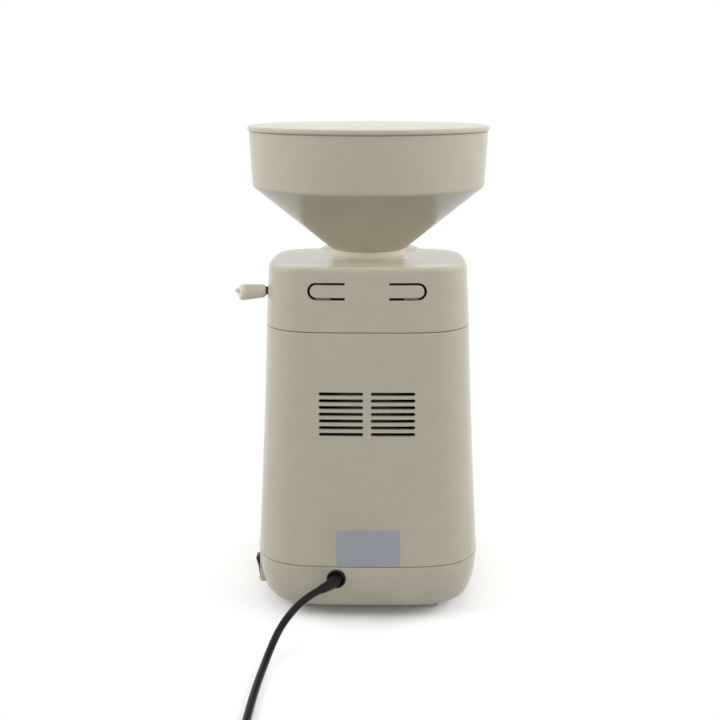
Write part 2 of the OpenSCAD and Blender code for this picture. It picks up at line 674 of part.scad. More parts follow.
// Rocker switch: body with bezel, and a rocker on two pins, its upper half out
body_w = switch_w - 1.8;
body_tall = switch_h - 1.2;
module switch_body() color(black) difference() {
    union() {
        translate([switch_face, switch_y - switch_w / 2, switch_z - switch_h / 2])
            cube([bezel_t, switch_w, switch_h]);
        translate([switch_face - 15, switch_y - body_w / 2, switch_z - body_tall / 2])
            cube([15.2, body_w, body_tall]);
        for (k = [-1, 1]) translate([switch_face - switch_deep, switch_y - 3, switch_z + switch_tab * k - 0.4])
            cube([7, 6, 0.8]);
    }
    translate([switch_face - 7, switch_y - rocker_w / 2 - slide_gap, switch_z - rocker_l / 2 - 1.1])
        cube([20, rocker_w + 2 * slide_gap, rocker_l + 2.2]);
    translate([rocker_x, switch_y, switch_z]) rotate([90, 0, 0])
        cylinder(r = pin_r + run_fit, h = rocker_w + 2 * slide_gap + 2.2, center = true);
}
module switch_rocker() color(black) translate([rocker_x, switch_y, switch_z]) rotate([0, rocker_tilt, 0]) {
    rotate([90, 0, 0]) linear_extrude(rocker_w, center = true)
        polygon([[-2.6, -1.6], [0.8, -rocker_l / 2], [4.3, -rocker_l / 2], [3.1, 0], [4.3, rocker_l / 2],
            [0.8, rocker_l / 2], [-2.6, 1.6]]);
    rotate([90, 0, 0]) cylinder(r = pin_r, h = rocker_w + 2 * slide_gap + 1.6, center = true);
}

// Strain relief: bush in the back wall, with a tapered sleeve that bends with the cord
module strain_relief() color(black) {
    gland_place() {
        translate([0, 0, 0.3]) cylinder(r1 = gland_r, r2 = gland_r - 0.6, h = 1.8);
        translate([0, 0, -bush_l]) cylinder(r = gland_bore, h = bush_l + 0.4);
        translate([0, 0, 2.6 - bush_l]) cylinder(r = gland_bore + 1, h = 2);
    }
    stack(tube_rings(sleeve_route, [4.3, 4.2, 4, 3.6, cord_d / 2 + 0.5], 12));
}
// Clamp on the inner end of the cord, and its block on the floor
module cord_clamp() color(beige_knob) translate([gland_x, gland_y - clamp_back, floor_z]) {
    difference() {
        translate([-9, -clamp_deep / 2, 0]) cube([18, clamp_deep, gland_z - floor_z + 5]);
        translate([0, -clamp_deep, gland_z - floor_z]) rotate([-90, 0, 0])
            cylinder(r = cord_d / 2 + 0.05, h = 2 * clamp_deep);
    }
    for (x = [-1, 1]) translate([x * 6, 0, gland_z - floor_z + 5]) cylinder(r = 2.2, h = 2);
}

// Mains cord: free stretch, tied coil of two layers, tie, plug and pins
module mains_cord() color(black) tube(cord_route, cord_d / 2, 10);
// Loops wind in, climb a layer in the half turn in the middle, and wind out again
function smooth(u) = let (c = min(1, max(0, u))) c * c * (3 - 2 * c);
coil_mid = 180 * coil_turns;
function coil_point(a) = let (r = coil_in_r + coil_pitch * abs(a - coil_mid) / 360)
    [coil_x + r * cos(a), coil_y + r * sin(a), coil_low + coil_layer * smooth((a - coil_mid + 90) / 180)];
coil_steps = round(coil_turns * coil_rings);
coil_path = concat([[cord_lane, coil_y - cord_d, coil_low]],
    [for (k = [0:coil_steps]) coil_point(360 * coil_turns * k / coil_steps)],
    [coil_point(360 * coil_turns) + [-cord_d, 0, 0]]);
coil_gap = min([for (i = [1:coil_steps], j = [i + coil_rings / 2:1:coil_steps + 1])
    norm(coil_path[i] - coil_path[j])]) - cord_d;
module cord_coil() color(black) tube(coil_path, cord_d / 2, 6);
// The tie goes round all the loops, on the side away from the cord's lane
tie_t = 0.7;
module cord_tie() color(black) {
    from = coil_in_r + 0.2 * coil_pitch - cord_d / 2 - 0.3;
    to = coil_out_r - 0.3 * coil_pitch + cord_d / 2 + 0.3;
    top = coil_low + coil_layer + cord_d / 2 + 0.3 + tie_t;
    translate([coil_x - (from + to) / 2, coil_y, top / 2])
        rotate([90, 0, 0]) linear_extrude(4, center = true) difference() {
            rounded(to - from + 2 * tie_t, top, 2);
            rounded(to - from, top - 2 * tie_t, 1.4);
        }
}
module plug_place() translate(coil_path[coil_steps + 2]) rotate([0, -90, 0]) rotate(90) children();
module mains_plug() color(black) plug_place() {
    cylinder(r1 = cord_d / 2 + 0.7, r2 = 4.6, h = plug_neck);
    hull() {
        translate([0, 0, plug_neck - 0.5]) cylinder(r = 5.2, h = 0.5, $fn = 32);
        translate([0, 0, plug_neck + plug_taper]) linear_extrude(0.5) hull()
            for (x = [-1, 1]) translate([x * (plug_w - plug_h) / 2, 0]) circle(d = plug_h, $fn = 32);
    }
    translate([0, 0, plug_neck + plug_taper + 0.5]) linear_extrude(plug_l) {
        square([plug_w - plug_h, plug_h], center = true);
        for (x = [-1, 1]) translate([x * (plug_w - plug_h) / 2, 0]) circle(d = plug_h);
    }
}
module plug_pins() color(steel) plug_place() for (x = [-1, 1])
    translate([x * pin_gap / 2, 0, plug_neck + plug_taper + plug_l + 0.5]) {
        cylinder(r = 2.4, h = pin_l - 1.4);
        translate([0, 0, pin_l - 1.4]) cylinder(r1 = 2.4, r2 = 1.2, h = 1.4);
    }

// Lever: stem screwed into the adjusting ring, tapered knob with a small nub on its end
module lever_place() translate([0, 0, lever_z]) rotate(lever_rest) rotate([0, 90, 0]) children();
module lever_stem() color(steel) lever_place() translate([0, 0, stem_in])
    cylinder(r = stem_r, h = knob_to - 6 - stem_in);
module lever_knob() color(beige_knob) lever_place() {
    rotate_extrude() polygon([
        [stem_r + run_fit, knob_from], [knob_in_r - 0.8, knob_from], [knob_in_r, knob_from + 0.8],
        [knob_out_r, knob_to - 3], [knob_out_r - 0.6, knob_to - 1.2], [knob_out_r - 2.2, knob_to],
        [0, knob_to], [0, knob_to - 5.9], [stem_r + run_fit, knob_to - 5.9]]);
    translate([-1.5, 0, knob_to - 0.5]) cylinder(r1 = nub_r, r2 = nub_r - 0.5, h = nub_l + 0.5);
}
module adjusting_ring() color(aluminium) difference() {
    union() {
        translate([0, 0, ring_z]) ring_of(carrier_out + slide_gap, chamber_out, ring_h);
        translate([0, 0, mill_z - 1])
            ring_of(carrier_out + slide_gap + 1.4, chamber_r - slide_gap, ring_z - mill_z + 2);
    }
    lever_place() translate([0, 0, stem_in]) cylinder(r = stem_r + run_fit, h = 20);
}

// Stones: the upper one hangs in its carrier, the lower one stands on the runner plate
module stone_carrier() color(aluminium) difference() {
    union() {
        translate([0, 0, mill_z + 3]) ring_of(stone_r + slide_gap, carrier_out, carrier_top - mill_z - 3);
        translate([0, 0, carrier_z]) cylinder(r = carrier_out - 1, h = carrier_h);
    }
    translate([0, 0, carrier_z - 0.01])
        cylinder(r1 = stone_eye, r2 = outlet_r - hopper_wall, h = carrier_h + 0.02);
    around(3, guide_at, 90) translate([0, 0, carrier_z - past])
        cylinder(r = guide_r + 0.06, h = carrier_h + 2 * past);
    around(3, guide_at, 30) translate([0, 0, carrier_z - past])
        cylinder(r = screw_r + screw_gap, h = carrier_h + 2 * past);
}
stone_dish = 4;
stone_bite = 5.5;
low_head = 1.8;
module upper_stone() color(stone_grey) difference() {
    rotate_extrude() polygon([[stone_eye, upper_stone_z + stone_dish], [stone_r * 0.66, upper_stone_z],
        [stone_r, upper_stone_z], [stone_r, carrier_z], [stone_eye, carrier_z]]);
    around(3, guide_at, 30) translate([0, 0, carrier_z - stone_bite - 0.5])
        cylinder(r = screw_r + run_fit, h = stone_bite + past);
}
module stone_screws() color(steel) around(3, guide_at, 30)
    screw(carrier_z - stone_bite, carrier_top, screw_r, head_r, low_head);
module guide_pins() color(steel) around(3, guide_at, 90) translate([0, 0, carrier_z + stone_lift + 0.6])
    cylinder(r = guide_r - 0.01, h = carrier_h + guide_pin_up - stone_lift - 0.6);
module lower_stone() color(stone_grey) translate([0, 0, lower_stone_z])
    ring_of(stone_eye, stone_r, stone_h);
runner_bore = shaft_r - 1.5;
module runner_plate() color(aluminium) difference() {
    union() {
        translate([0, 0, runner_z]) cylinder(r = stone_r + 0.6, h = runner_h);
        around(4, stone_r + 0.4, 45) translate([0, -1.5, runner_z])
            cube([sweep_room - 1.2, 3, stone_h - 1]);
    }
    translate([0, 0, runner_z - past]) cylinder(r = runner_bore + run_fit, h = runner_h + 2 * past);
    translate([0, 0, lower_stone_z]) cylinder(r = stone_r + 0.05, h = stone_h + past);
}
module runner_screw() color(steel) screw(lower_stone_z - 11, lower_stone_z, screw_r, runner_bore + 2, 4);

// Grinding chamber: cup with ears, outlet duct to the front and a hole for the felt seal
module grinding_chamber() color(beige) difference() {
    union() {
        translate([0, 0, chamber_z]) cylinder(r = chamber_out, h = chamber_top - chamber_z);
        translate([-duct_w / 2, -(body_top_half + body_deeper) - 5, chamber_z])
            cube([duct_w, body_top_half + body_deeper + 5 - chamber_r, duct_roof - chamber_z]);
        around(4, ear_at, 45) translate([0, 0, chamber_z]) cylinder(r = ear_r, h = 4);
    }
    translate([0, 0, chamber_top_floor]) cylinder(r = chamber_r, h = chamber_top);
    translate([-duct_w / 2 + duct_wall, -spout_reach, chamber_top_floor])
        cube([duct_w - 2 * duct_wall, spout_reach - stone_r, duct_h]);
    translate([0, 0, chamber_z - past]) cylinder(r = seal_r + 0.05, h = chamber_floor_h + 2 * past);
    around(4, ear_at, 45) translate([0, 0, chamber_z - past]) cylinder(r = screw_r + screw_gap, h = 6);
}
module chamber_screws() color(steel) around(4, ear_at, 45) screw(deck_z + 1.5, chamber_z + 4);
module shaft_seal() color([0.85, 0.83, 0.76]) translate([0, 0, chamber_z])
    ring_of(shaft_r + 0.05, seal_r, chamber_floor_h);

// Deck on its pads; it carries the chamber above and the motor below, and its screws' heads are sunk
deck_seat = chamber_z - head_h - 0.3;
module motor_deck() color(aluminium) difference() {
    translate([0, 0, deck_z]) linear_extrude(deck_h)
        polygon([for (p = outline(deck_half, 0)) [p[0], p[1]]]);
    translate([0, 0, deck_z - past]) cylinder(r = shaft_r + 2.5, h = deck_h + 2 * past);
    four_sides(bracket_at) {
        translate([0, 0, deck_z - past]) cylinder(r = screw_r + screw_gap, h = deck_h + 2 * past);
        translate([0, 0, deck_seat]) cylinder(r = head_r + screw_gap, h = deck_h);
    }
    around(4, ear_at, 45) translate([0, 0, deck_z + 1]) cylinder(r = screw_r + run_fit, h = deck_h);
    around(4, bolt_at) translate([0, 0, deck_z - past]) cylinder(r = bolt_r + run_fit, h = deck_h);
}
module deck_pads() color(black) four_sides(bracket_at) translate([0, 0, pad_z])
    ring_of(screw_r + screw_gap, bracket_pad_r, pad_h);
module deck_screws() color(steel) four_sides(bracket_at) screw(pad_z - bracket_h + 2, deck_seat);

// Motor
module end_shield() difference() {
    union() {
        cylinder(r = motor_r, h = shield_h);
        translate([0, 0, -bearing_h - 2]) cylinder(r = bearing_r + 5, h = bearing_h + 2 + past);
        children(0);
    }
    translate([0, 0, -bearing_h - 2 - past]) cylinder(r = bearing_r + run_fit, h = bearing_h + past + 0.5);
    translate([0, 0, -past - bearing_h]) cylinder(r = shaft_r + 1, h = shield_h + bearing_h + 2 * past);
    around(4, bolt_at) translate([0, 0, -upper_skirt - past])
        cylinder(r = bolt_r + screw_gap, h = upper_skirt + shield_h + 2 * past);
    around(6, bearing_r + 18, 30) translate([0, 0, -past]) cylinder(r = 6, h = shield_h + 2 * past);
}
module skirt(h) translate([0, 0, -h]) ring_of(motor_r - shield_wall, motor_r, h + past);
module upper_end_shield() color(aluminium) translate([0, 0, shield_z])
    end_shield() skirt(upper_skirt);
module lower_end_shield() color(aluminium) translate([0, 0, lower_shield_z + shield_h]) mirror([0, 0, 1])
    end_shield() skirt(lower_skirt);
module motor_bolts() color(steel) around(4, bolt_at) mirror([0, 0, 1])
    screw(-deck_z - deck_h + 2, -lower_shield_z, bolt_r, bolt_head, 2.4);
module stator_core() color([0.45, 0.46, 0.48]) difference() {
    translate([0, 0, stator_z]) ring_of(rotor_r + 0.5, motor_r, stator_h);
    around(4, bolt_at) translate([0, 0, stator_z - past])
        cylinder(r = bolt_r + screw_gap, h = stator_h + 2 * past);
}
winding_out = motor_r - shield_wall - 2;
winding_round = (winding_out - winding_in) * 0.32;
module winding() rotate_extrude() polygon([
    [winding_in, 0], [winding_out, 0], [winding_out, winding_h - winding_round],
    [winding_out - winding_round, winding_h], [winding_in + winding_round, winding_h],
    [winding_in, winding_h - winding_round]]);
module stator_windings() color(copper) {
    translate([0, 0, stator_top]) winding();
    translate([0, 0, stator_z]) mirror([0, 0, 1]) winding();
}
module rotor_core() color([0.55, 0.56, 0.58]) translate([0, 0, stator_z - 2]) union() {
    ring_of(shaft_r + 0.02, rotor_r, stator_h + 4);
    for (z = [-2, stator_h + 4]) translate([0, 0, z]) ring_of(rotor_r - 8, rotor_r - 1, 2);
}
module motor_shaft() color(steel) difference() {
    union() {
        translate([0, 0, shaft_z]) cylinder(r = shaft_r, h = runner_z - shaft_z);
        translate([0, 0, runner_z - past]) cylinder(r = runner_bore, h = runner_h + past - 0.2);
    }
    translate([0, 0, lower_stone_z - 12]) cylinder(r = screw_r + run_fit, h = 20);
}
module bearing() ring_of(shaft_r + run_fit, bearing_r, bearing_h);
module upper_bearing() color(steel) translate([0, 0, shield_z - bearing_h - 1.5]) bearing();
module lower_bearing() color(steel) translate([0, 0, lower_shield_z + shield_h + 1.5]) bearing();
module cooling_fan() color(black) translate([0, 0, fan_z]) difference() {
    union() {
        cylinder(r = shaft_r + 5, h = fan_h);
        translate([0, 0, fan_h - 1.6]) cylinder(r = fan_r, h = 1.6);
        around(9, 0) translate([shaft_r + 3, -0.8, 0]) cube([fan_r - shaft_r - 3.4, 1.6, fan_h - 1]);
    }
    translate([0, 0, -past]) cylinder(r = shaft_r + 0.02, h = fan_h + 2 * past);
}

// Capacitor, terminal block and leads in the base
module run_capacitor() color([0.78, 0.78, 0.80]) translate([capacitor_x, 0, floor_z]) {
    cylinder(r = capacitor_r, h = capacitor_h);
    for (y = [-1, 1]) translate([-0.4, y * 5 - 2, capacitor_h]) cube([0.8, 4, 6]);
}
block_x = 16;
block_y = 40;
block_l = 34;
block_w = 14;
block_h = 13;
well_r = 2.4;
well_h = 8;
module terminal_block() color([0.85, 0.84, 0.80]) translate([block_x, block_y, floor_z]) difference() {
    translate([-block_l / 2, -block_w / 2, 0]) cube([block_l, block_w, block_h]);
    for (k = [-1:1]) translate([k * block_l * 0.3, 0, block_h - well_h])
        cylinder(r = well_r, h = well_h + past);
}
lead_r = 1.3;
lead_gap = 2.5;
lead_step = 6;
lead_run = 10;
block_z = floor_z + block_h + lead_r;
sheath_end = gland_y - clamp_back - clamp_deep / 2 - 4;
sheath_start = gland_y - bush_l - 0.1;
module inner_leads() color([0.35, 0.22, 0.14]) {
    translate([gland_x, sheath_end, gland_z]) rotate([-90, 0, 0])
        cylinder(r = cord_d / 2, h = sheath_start - sheath_end);
    for (k = [-1, 1]) {
        core_x = gland_x + k * lead_gap / 2;
        in_x = block_x + (lead_run + k * lead_step) / 2;
        out_x = block_x + block_l / 2;
        out_y = block_y + (k - 1) * lead_step / 2;
        tab_y = switch_y + k * lead_r * 1.5;
        tab_z = switch_z + k * switch_tab;
        tube([[core_x, sheath_end + lead_r / 2, gland_z],
            [core_x, sheath_end - 2 * lead_r, gland_z - lead_r / 2],
            [in_x, block_y + 3 * lead_r, block_z + lead_r], [in_x, block_y, block_z]], lead_r, 8);
        tube([[out_x - 2 * lead_r, out_y, block_z], [out_x + lead_run * 0.7, out_y, block_z + lead_r],
            [switch_face - switch_deep - lead_run / 2, tab_y - lead_r, tab_z - lead_r],
            [switch_face - switch_deep - lead_r / 8, tab_y, tab_z]], lead_r, 8);
    }
}

module in_frame() translate(shaft_at) children();
echo("shaft in the frame", shaft_at);
echo("least gap of the coil to itself", coil_gap);
in_frame() hopper_lid();
in_frame() hopper();
in_frame() top_cover();
in_frame() latch_tongue_left();
in_frame() latch_tongue_right();
in_frame() flour_spout();
in_frame() spout_screws();
in_frame() motor_housing();
in_frame() rating_plate();
in_frame() base_tray();
in_frame() rubber_feet();
in_frame() base_screws();
in_frame() switch_body();
in_frame() switch_rocker();
in_frame() strain_relief();
in_frame() cord_clamp();
in_frame() mains_cord();
in_frame() cord_coil();
in_frame() cord_tie();
in_frame() mains_plug();
in_frame() plug_pins();
in_frame() lever_knob();
in_frame() lever_stem();
in_frame() adjusting_ring();
in_frame() stone_carrier();
in_frame() upper_stone();
in_frame() stone_screws();
in_frame() guide_pins();
in_frame() lower_stone();
in_frame() runner_plate();
in_frame() runner_screw();
in_frame() grinding_chamber();
in_frame() chamber_screws();
in_frame() shaft_seal();
in_frame() motor_deck();
in_frame() deck_pads();
in_frame() deck_screws();
in_frame() upper_end_shield();
in_frame() lower_end_shield();
in_frame() motor_bolts();
in_frame() stator_core();
in_frame() stator_windings();
in_frame() rotor_core();
in_frame() motor_shaft();
in_frame() upper_bearing();
in_frame() lower_bearing();
in_frame() cooling_fan();
in_frame() run_capacitor();
in_frame() terminal_block();
in_frame() inner_leads();
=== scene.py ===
import math
import bmesh
import bpy
import numpy as np
from mathutils import Matrix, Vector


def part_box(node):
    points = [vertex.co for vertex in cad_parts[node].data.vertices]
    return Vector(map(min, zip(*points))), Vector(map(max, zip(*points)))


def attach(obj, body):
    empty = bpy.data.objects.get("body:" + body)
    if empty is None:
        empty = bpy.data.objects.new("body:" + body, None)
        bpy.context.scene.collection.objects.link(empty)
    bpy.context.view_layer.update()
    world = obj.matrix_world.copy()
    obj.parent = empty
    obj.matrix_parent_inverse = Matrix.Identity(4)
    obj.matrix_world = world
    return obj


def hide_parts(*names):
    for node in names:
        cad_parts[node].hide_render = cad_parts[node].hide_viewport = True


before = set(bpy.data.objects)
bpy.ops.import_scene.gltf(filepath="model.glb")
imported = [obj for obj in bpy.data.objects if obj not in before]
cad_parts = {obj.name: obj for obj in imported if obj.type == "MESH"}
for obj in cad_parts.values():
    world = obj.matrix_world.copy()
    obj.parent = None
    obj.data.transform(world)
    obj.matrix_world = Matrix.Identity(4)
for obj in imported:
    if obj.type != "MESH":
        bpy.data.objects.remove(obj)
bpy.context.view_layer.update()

LID_LOW, LID_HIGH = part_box("hopper_lid")
SHAFT = np.array([(LID_LOW.x + LID_HIGH.x) / 2, (LID_LOW.y + LID_HIGH.y) / 2, 0.0])

# Main sizes in millimetres about the shaft; those of the shells are trimmed from the part's source, by less than 3 mm,
# to the photograph's outline
FLOOR_Z, BASE_SEAM, COVER_SEAM, COVER_TOP = 8.7, 42.2, 212.0, 253.4
BASE_HALF, SEAM_HALF, TOP_HALF, DEEPER, PLAN_POWER = 82.4, 73.8, 71.5, 4.6, 4.3
BASE_DRAW, BASE_ROUND = 10.0, 2.0
WALL, EDGE, FALL = 2.8, 2.4, math.tan(math.radians(2.9))
COVER_H, FLANK_H = COVER_TOP - COVER_SEAM, COVER_TOP - COVER_SEAM - EDGE
LATCH_Z, LEVER_Z, LEVER_REST = 240.6, 233.1, math.radians(22)
GLAND_X, GLAND_Z, CORD_R = 22.0, 33.3, 2.6
SEAM_ROUND, SEAM_GAP, LIP_T, LIP_ROUND = 0.3, 0.25, 1.8, 0.4
HOLLOW, MM = 0.6, 0.001
QUARTER = np.linspace(0, np.pi / 2, 5)

# Meshes: points nearer than MERGE are one, edges under SLIVER go, edges sharper than SHARP stay crisp
MERGE, SLIVER, SHARP = 2e-6, 1e-6, math.radians(32)


def to_frame(points):
    """Millimetres about the shaft to metres in the part's frame."""
    return np.asarray(points, float) * MM + SHAFT


def signed_power(value, power):
    """Power of the size of a number, with the number's own sign."""
    return np.sign(value) * np.abs(value) ** power


def hermite(x, knots, values):
    """Smooth curve through values at rising knots: cubic pieces whose slopes are the mean chord slopes at each knot."""
    knots, values = np.asarray(knots, float), np.asarray(values, float)
    shape = (-1,) + (1,) * (values.ndim - 1)
    slope = np.gradient(values, knots, axis=0)
    i = np.clip(np.searchsorted(knots, x, side="right") - 1, 0, len(knots) - 2)
    width = knots[i + 1] - knots[i]
    t = (x - knots[i]) / width
    low, high = (2 * t**3 - 3 * t**2 + 1).reshape(shape), (3 * t**2 - 2 * t**3).reshape(shape)
    start, end = ((t**3 - 2 * t**2 + t) * width).reshape(shape), ((t**3 - t**2) * width).reshape(shape)
    return low * values[i] + high * values[i + 1] + start * slope[i] + end * slope[i + 1]


def even_angles(outline, count, turn=2 * np.pi):
    """Angles at which a closed outline, a function of an angle, is shared into equal lengths."""
    a = np.linspace(0, turn, 7201)
    length = np.concatenate([[0], np.cumsum(np.linalg.norm(np.diff(outline(a), axis=0), axis=1))])
    return np.interp(np.arange(count) / count * length[-1], length, a)


def plan(half, a):
    """Body plan: superellipse of half-width half and a half-depth greater by DEEPER, at the angles a."""
    return np.stack([half * signed_power(np.cos(a), 2 / PLAN_POWER),
                     (half + DEEPER) * signed_power(np.sin(a), 2 / PLAN_POWER)], -1)


# Points of the body's outlines, shared evenly on one of middling size
MID_HALF, PLAN_POINTS = 80.0, 320
PLAN_A = even_angles(lambda a: plan(MID_HALF, a), PLAN_POINTS)


def ring(half, z, lean=0.0):
    """Plan outline at height z; with a lean its height falls towards the front."""
    p = plan(half, PLAN_A)
    return np.column_stack([p, z + lean * p[:, 1]])


def base_half(z):
    """Half-width of the base: superellipse that draws in by BASE_DRAW over its height."""
    s = np.clip((BASE_SEAM - z) / (BASE_SEAM - FLOOR_Z), 0, 1)
    return BASE_HALF - BASE_DRAW * (1 - (1 - s**BASE_ROUND) ** (1 / BASE_ROUND))


def housing_half(z):
    """Half-width of the housing: straight draft less a parabola, HOLLOW deep at mid height."""
    u = (z - BASE_SEAM) / (COVER_SEAM - BASE_SEAM)
    return BASE_HALF + (SEAM_HALF - BASE_HALF) * u - 4 * HOLLOW * u * (1 - u)


def cover_half(z):
    """Half-width of the cover: straight draft from seam to top."""
    return SEAM_HALF + (TOP_HALF - SEAM_HALF) * (z - COVER_SEAM) / COVER_H


def back_y(half, x):
    """Where a back wall of half-width half lies at x."""
    return (half + DEEPER) * (1 - (np.abs(x) / half) ** PLAN_POWER) ** (1 / PLAN_POWER)


def cover_back_y(x, z):
    """Back of the cover at x and z: its rings lean, so the ring that passes through z is closed in on from a guess."""
    y = 77.5
    for _ in range(3):
        u = (z - COVER_SEAM) / (FLANK_H + FALL * y)
        y = back_y(cover_half(COVER_SEAM + u * FLANK_H), x)
    return y


def edge_over(half, seam):
    """Quarter round at the foot of the shell that stands over a seam, from its rim up to its wall."""
    return [ring(half - SEAM_ROUND * (1 - math.sin(b)), seam + SEAM_GAP + SEAM_ROUND * (1 - math.cos(b)))
            for b in QUARTER]


def edge_under(half, seam):
    """Quarter round at the top of the shell that lies under a seam, from its wall in to its rim."""
    return [ring(half - SEAM_ROUND * (1 - math.cos(b)), seam - SEAM_GAP - SEAM_ROUND * (1 - math.sin(b)))
            for b in QUARTER]


def lip(half, seam, top, foot):
    """Thin wall of half-width half that rises from a seam into the shell above, its two upper edges bevelled."""
    inner = half - LIP_T
    return [ring(half, seam - SEAM_GAP), ring(half, top - LIP_ROUND), ring(half - LIP_ROUND, top),
            ring(inner + LIP_ROUND, top), ring(inner, top - LIP_ROUND), ring(inner, foot)]


def rounded_rect(w, h, r, count):
    """Outline of a w by h rectangle with a quarter circle of radius r in each corner."""
    a = (np.arange(count) + 0.5) * 2 * np.pi / count
    return np.stack([(w / 2 - r) * np.sign(np.cos(a)) + r * np.cos(a),
                     (h / 2 - r) * np.sign(np.sin(a)) + r * np.sin(a)], -1)


def fillets(corners, steps=6):
    """Chain of corners (r, z, radius): each corner with a radius becomes an arc that touches both its sides."""
    chain = []
    for k, (r, z, radius) in enumerate(corners):
        here = np.array([r, z])
        if radius == 0 or k in (0, len(corners) - 1):
            chain.append(here[None])
            continue
        u, v = (np.array(corners[j][:2]) - here for j in (k - 1, k + 1))
        u, v = u / np.linalg.norm(u), v / np.linalg.norm(v)
        half = math.acos(np.clip(u @ v, -1, 1)) / 2
        middle = here + (u + v) / np.linalg.norm(u + v) * radius / math.sin(half)
        t = np.linspace(0, 1, steps + 1)[:, None]
        start, end = (here + side * radius / math.tan(half) - middle for side in (u, v))
        swing = (1 - t) * start + t * end
        chain.append(middle + swing / np.linalg.norm(swing, axis=1, keepdims=True) * radius)
    return np.concatenate(chain)


def loft(rows, loop=False):
    """Quads between neighbouring rows, each a closed ring of points; with loop the last row joins the first."""
    rows = np.asarray(rows, float)
    index = np.arange(rows.shape[0] * rows.shape[1]).reshape(rows.shape[:2])
    low, high = (index, np.roll(index, -1, 0)) if loop else (index[:-1], index[1:])
    faces = np.stack([low, np.roll(low, -1, 1), np.roll(high, -1, 1), high], -1)
    return rows.reshape(-1, 3), faces.reshape(-1, 4)


def capped(rows):
    """Stack of rings, each end closed by a pole in the middle of its last ring."""
    rows = np.asarray(rows, float)
    poles = np.repeat(rows[[0, -1]].mean(1, keepdims=True), rows.shape[1], 1)
    return loft(np.concatenate([poles[:1], rows, poles[1:]]))


def revolve(profile, count, loop):
    """Profile of (radius, height) pairs turned once round the Z axis; with loop its last pair joins its first."""
    a = np.arange(count) * 2 * np.pi / count
    profile = np.asarray(profile, float)
    rows = np.stack([profile[:, :1] * np.cos(a), profile[:, :1] * np.sin(a),
                     np.repeat(profile[:, 1:], count, 1)], -1)
    return loft(rows, loop)


def together(*parts):
    """Several sets of points and quads as one."""
    starts = np.cumsum([0] + [len(p) for p, _ in parts[:-1]])
    return np.concatenate([p for p, _ in parts]), np.concatenate([f + s for (_, f), s in zip(parts, starts)])


def moved(part, shift=(0, 0, 0), axes=np.eye(3)):
    """Points turned so that X, Y and Z run along the given axes, then shifted."""
    return part[0] @ np.asarray(axes, float) + np.asarray(shift, float), part[1]


def block(x0, x1, y0, y1, z0, z1):
    """Plain box as a stack of two rectangles."""
    flat = np.array([[x0, y0], [x1, y0], [x1, y1], [x0, y1]])
    return capped([np.column_stack([flat, np.full(4, z)]) for z in (z0, z1)])


def drum(r, z0, z1, count):
    """Plain cylinder about Z."""
    return revolve([(0, z0), (r, z0), (r, z1), (0, z1)], count, loop=False)


def pillow(outline, insets, place):
    """Closed slab: rings of one outline, drawn in and set at depths, with poles in both faces.
    insets lists (how much the outline is drawn in, depth); place puts flat points at a depth into space."""
    rows = [place(outline(inset), depth) for inset, depth in insets]
    first, last = outline(insets[0][0]), outline(insets[-1][0])
    low = [place(first.mean(0) + t * (first - first.mean(0)), insets[0][1]) for t in (0, 0.3, 0.6, 0.85)]
    high = [place(last.mean(0) + t * (last - last.mean(0)), insets[-1][1]) for t in (0.85, 0.6, 0.3, 0)]
    return loft(low + rows + high)


def tube(path, radii, sides):
    """Round tube along a path: rings square to the path's heading, closed at both ends."""
    path = np.asarray(path, float)
    along = np.gradient(path, axis=0)
    along /= np.linalg.norm(along, axis=1, keepdims=True)
    side = np.cross([0, 0, 1], along)
    side /= np.linalg.norm(side, axis=1, keepdims=True)
    up = np.cross(along, side)
    a = np.arange(sides) * 2 * np.pi / sides
    radii = np.broadcast_to(radii, len(path))[:, None, None]
    return capped(path[:, None] + radii * (np.cos(a)[:, None] * side[:, None] + np.sin(a)[:, None] * up[:, None]))


def smooth(mesh):
    """Doubles merged, faces turned outwards, smooth shading broken at sharp edges."""
    work = bmesh.new()
    work.from_mesh(mesh)
    bmesh.ops.remove_doubles(work, verts=work.verts, dist=MERGE)
    bmesh.ops.dissolve_degenerate(work, edges=work.edges, dist=SLIVER)
    bmesh.ops.recalc_face_normals(work, faces=work.faces)
    work.to_mesh(mesh)
    work.free()
    mesh.shade_smooth()
    mesh.set_sharp_from_angle(angle=SHARP)


def solid(name, part):
    """Mesh object of a set of points in millimetres and quads."""
    mesh = bpy.data.meshes.new(name)
    mesh.from_pydata(to_frame(part[0]).tolist(), [], part[1].tolist())
    smooth(mesh)
    made = bpy.data.objects.new(name, mesh)
    bpy.context.scene.collection.objects.link(made)
    return made


def cut(target, part):
    """Takes a shape away from a piece and drops the cutter."""
    cutter = solid("cutter", part)
    step = target.modifiers.new("cut", "BOOLEAN")
    step.operation, step.object, step.solver = "DIFFERENCE", cutter, "EXACT"
    made = bpy.data.meshes.new_from_object(target.evaluated_get(bpy.context.evaluated_depsgraph_get()))
    target.modifiers.clear()
    worn, target.data = target.data, made
    bpy.data.meshes.remove(worn)
    bpy.data.meshes.remove(cutter.data)
    smooth(made)


def dress(piece, body, look, slot, *nodes):
    """Gives a piece its finish and its body, and hides the nodes that it stands for."""
    piece.data.materials.clear()
    piece.data.materials.append(look)
    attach(piece, body)
    if nodes:
        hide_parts(*nodes)


def linear(r, g, b):
    """Screen colour from 0 to 255 as a linear colour."""
    c = np.array([r, g, b]) / 255
    return (*np.where(c <= 0.04045, c / 12.92, ((c + 0.055) / 1.055) ** 2.4).tolist(), 1.0)


def shade(colour, by):
    """A screen colour made lighter or darker by a factor."""
    return linear(*(min(255, c * by) for c in colour))


# Most of a noise lies between these two values
NOISE_LOW, NOISE_HIGH = 0.3, 0.7


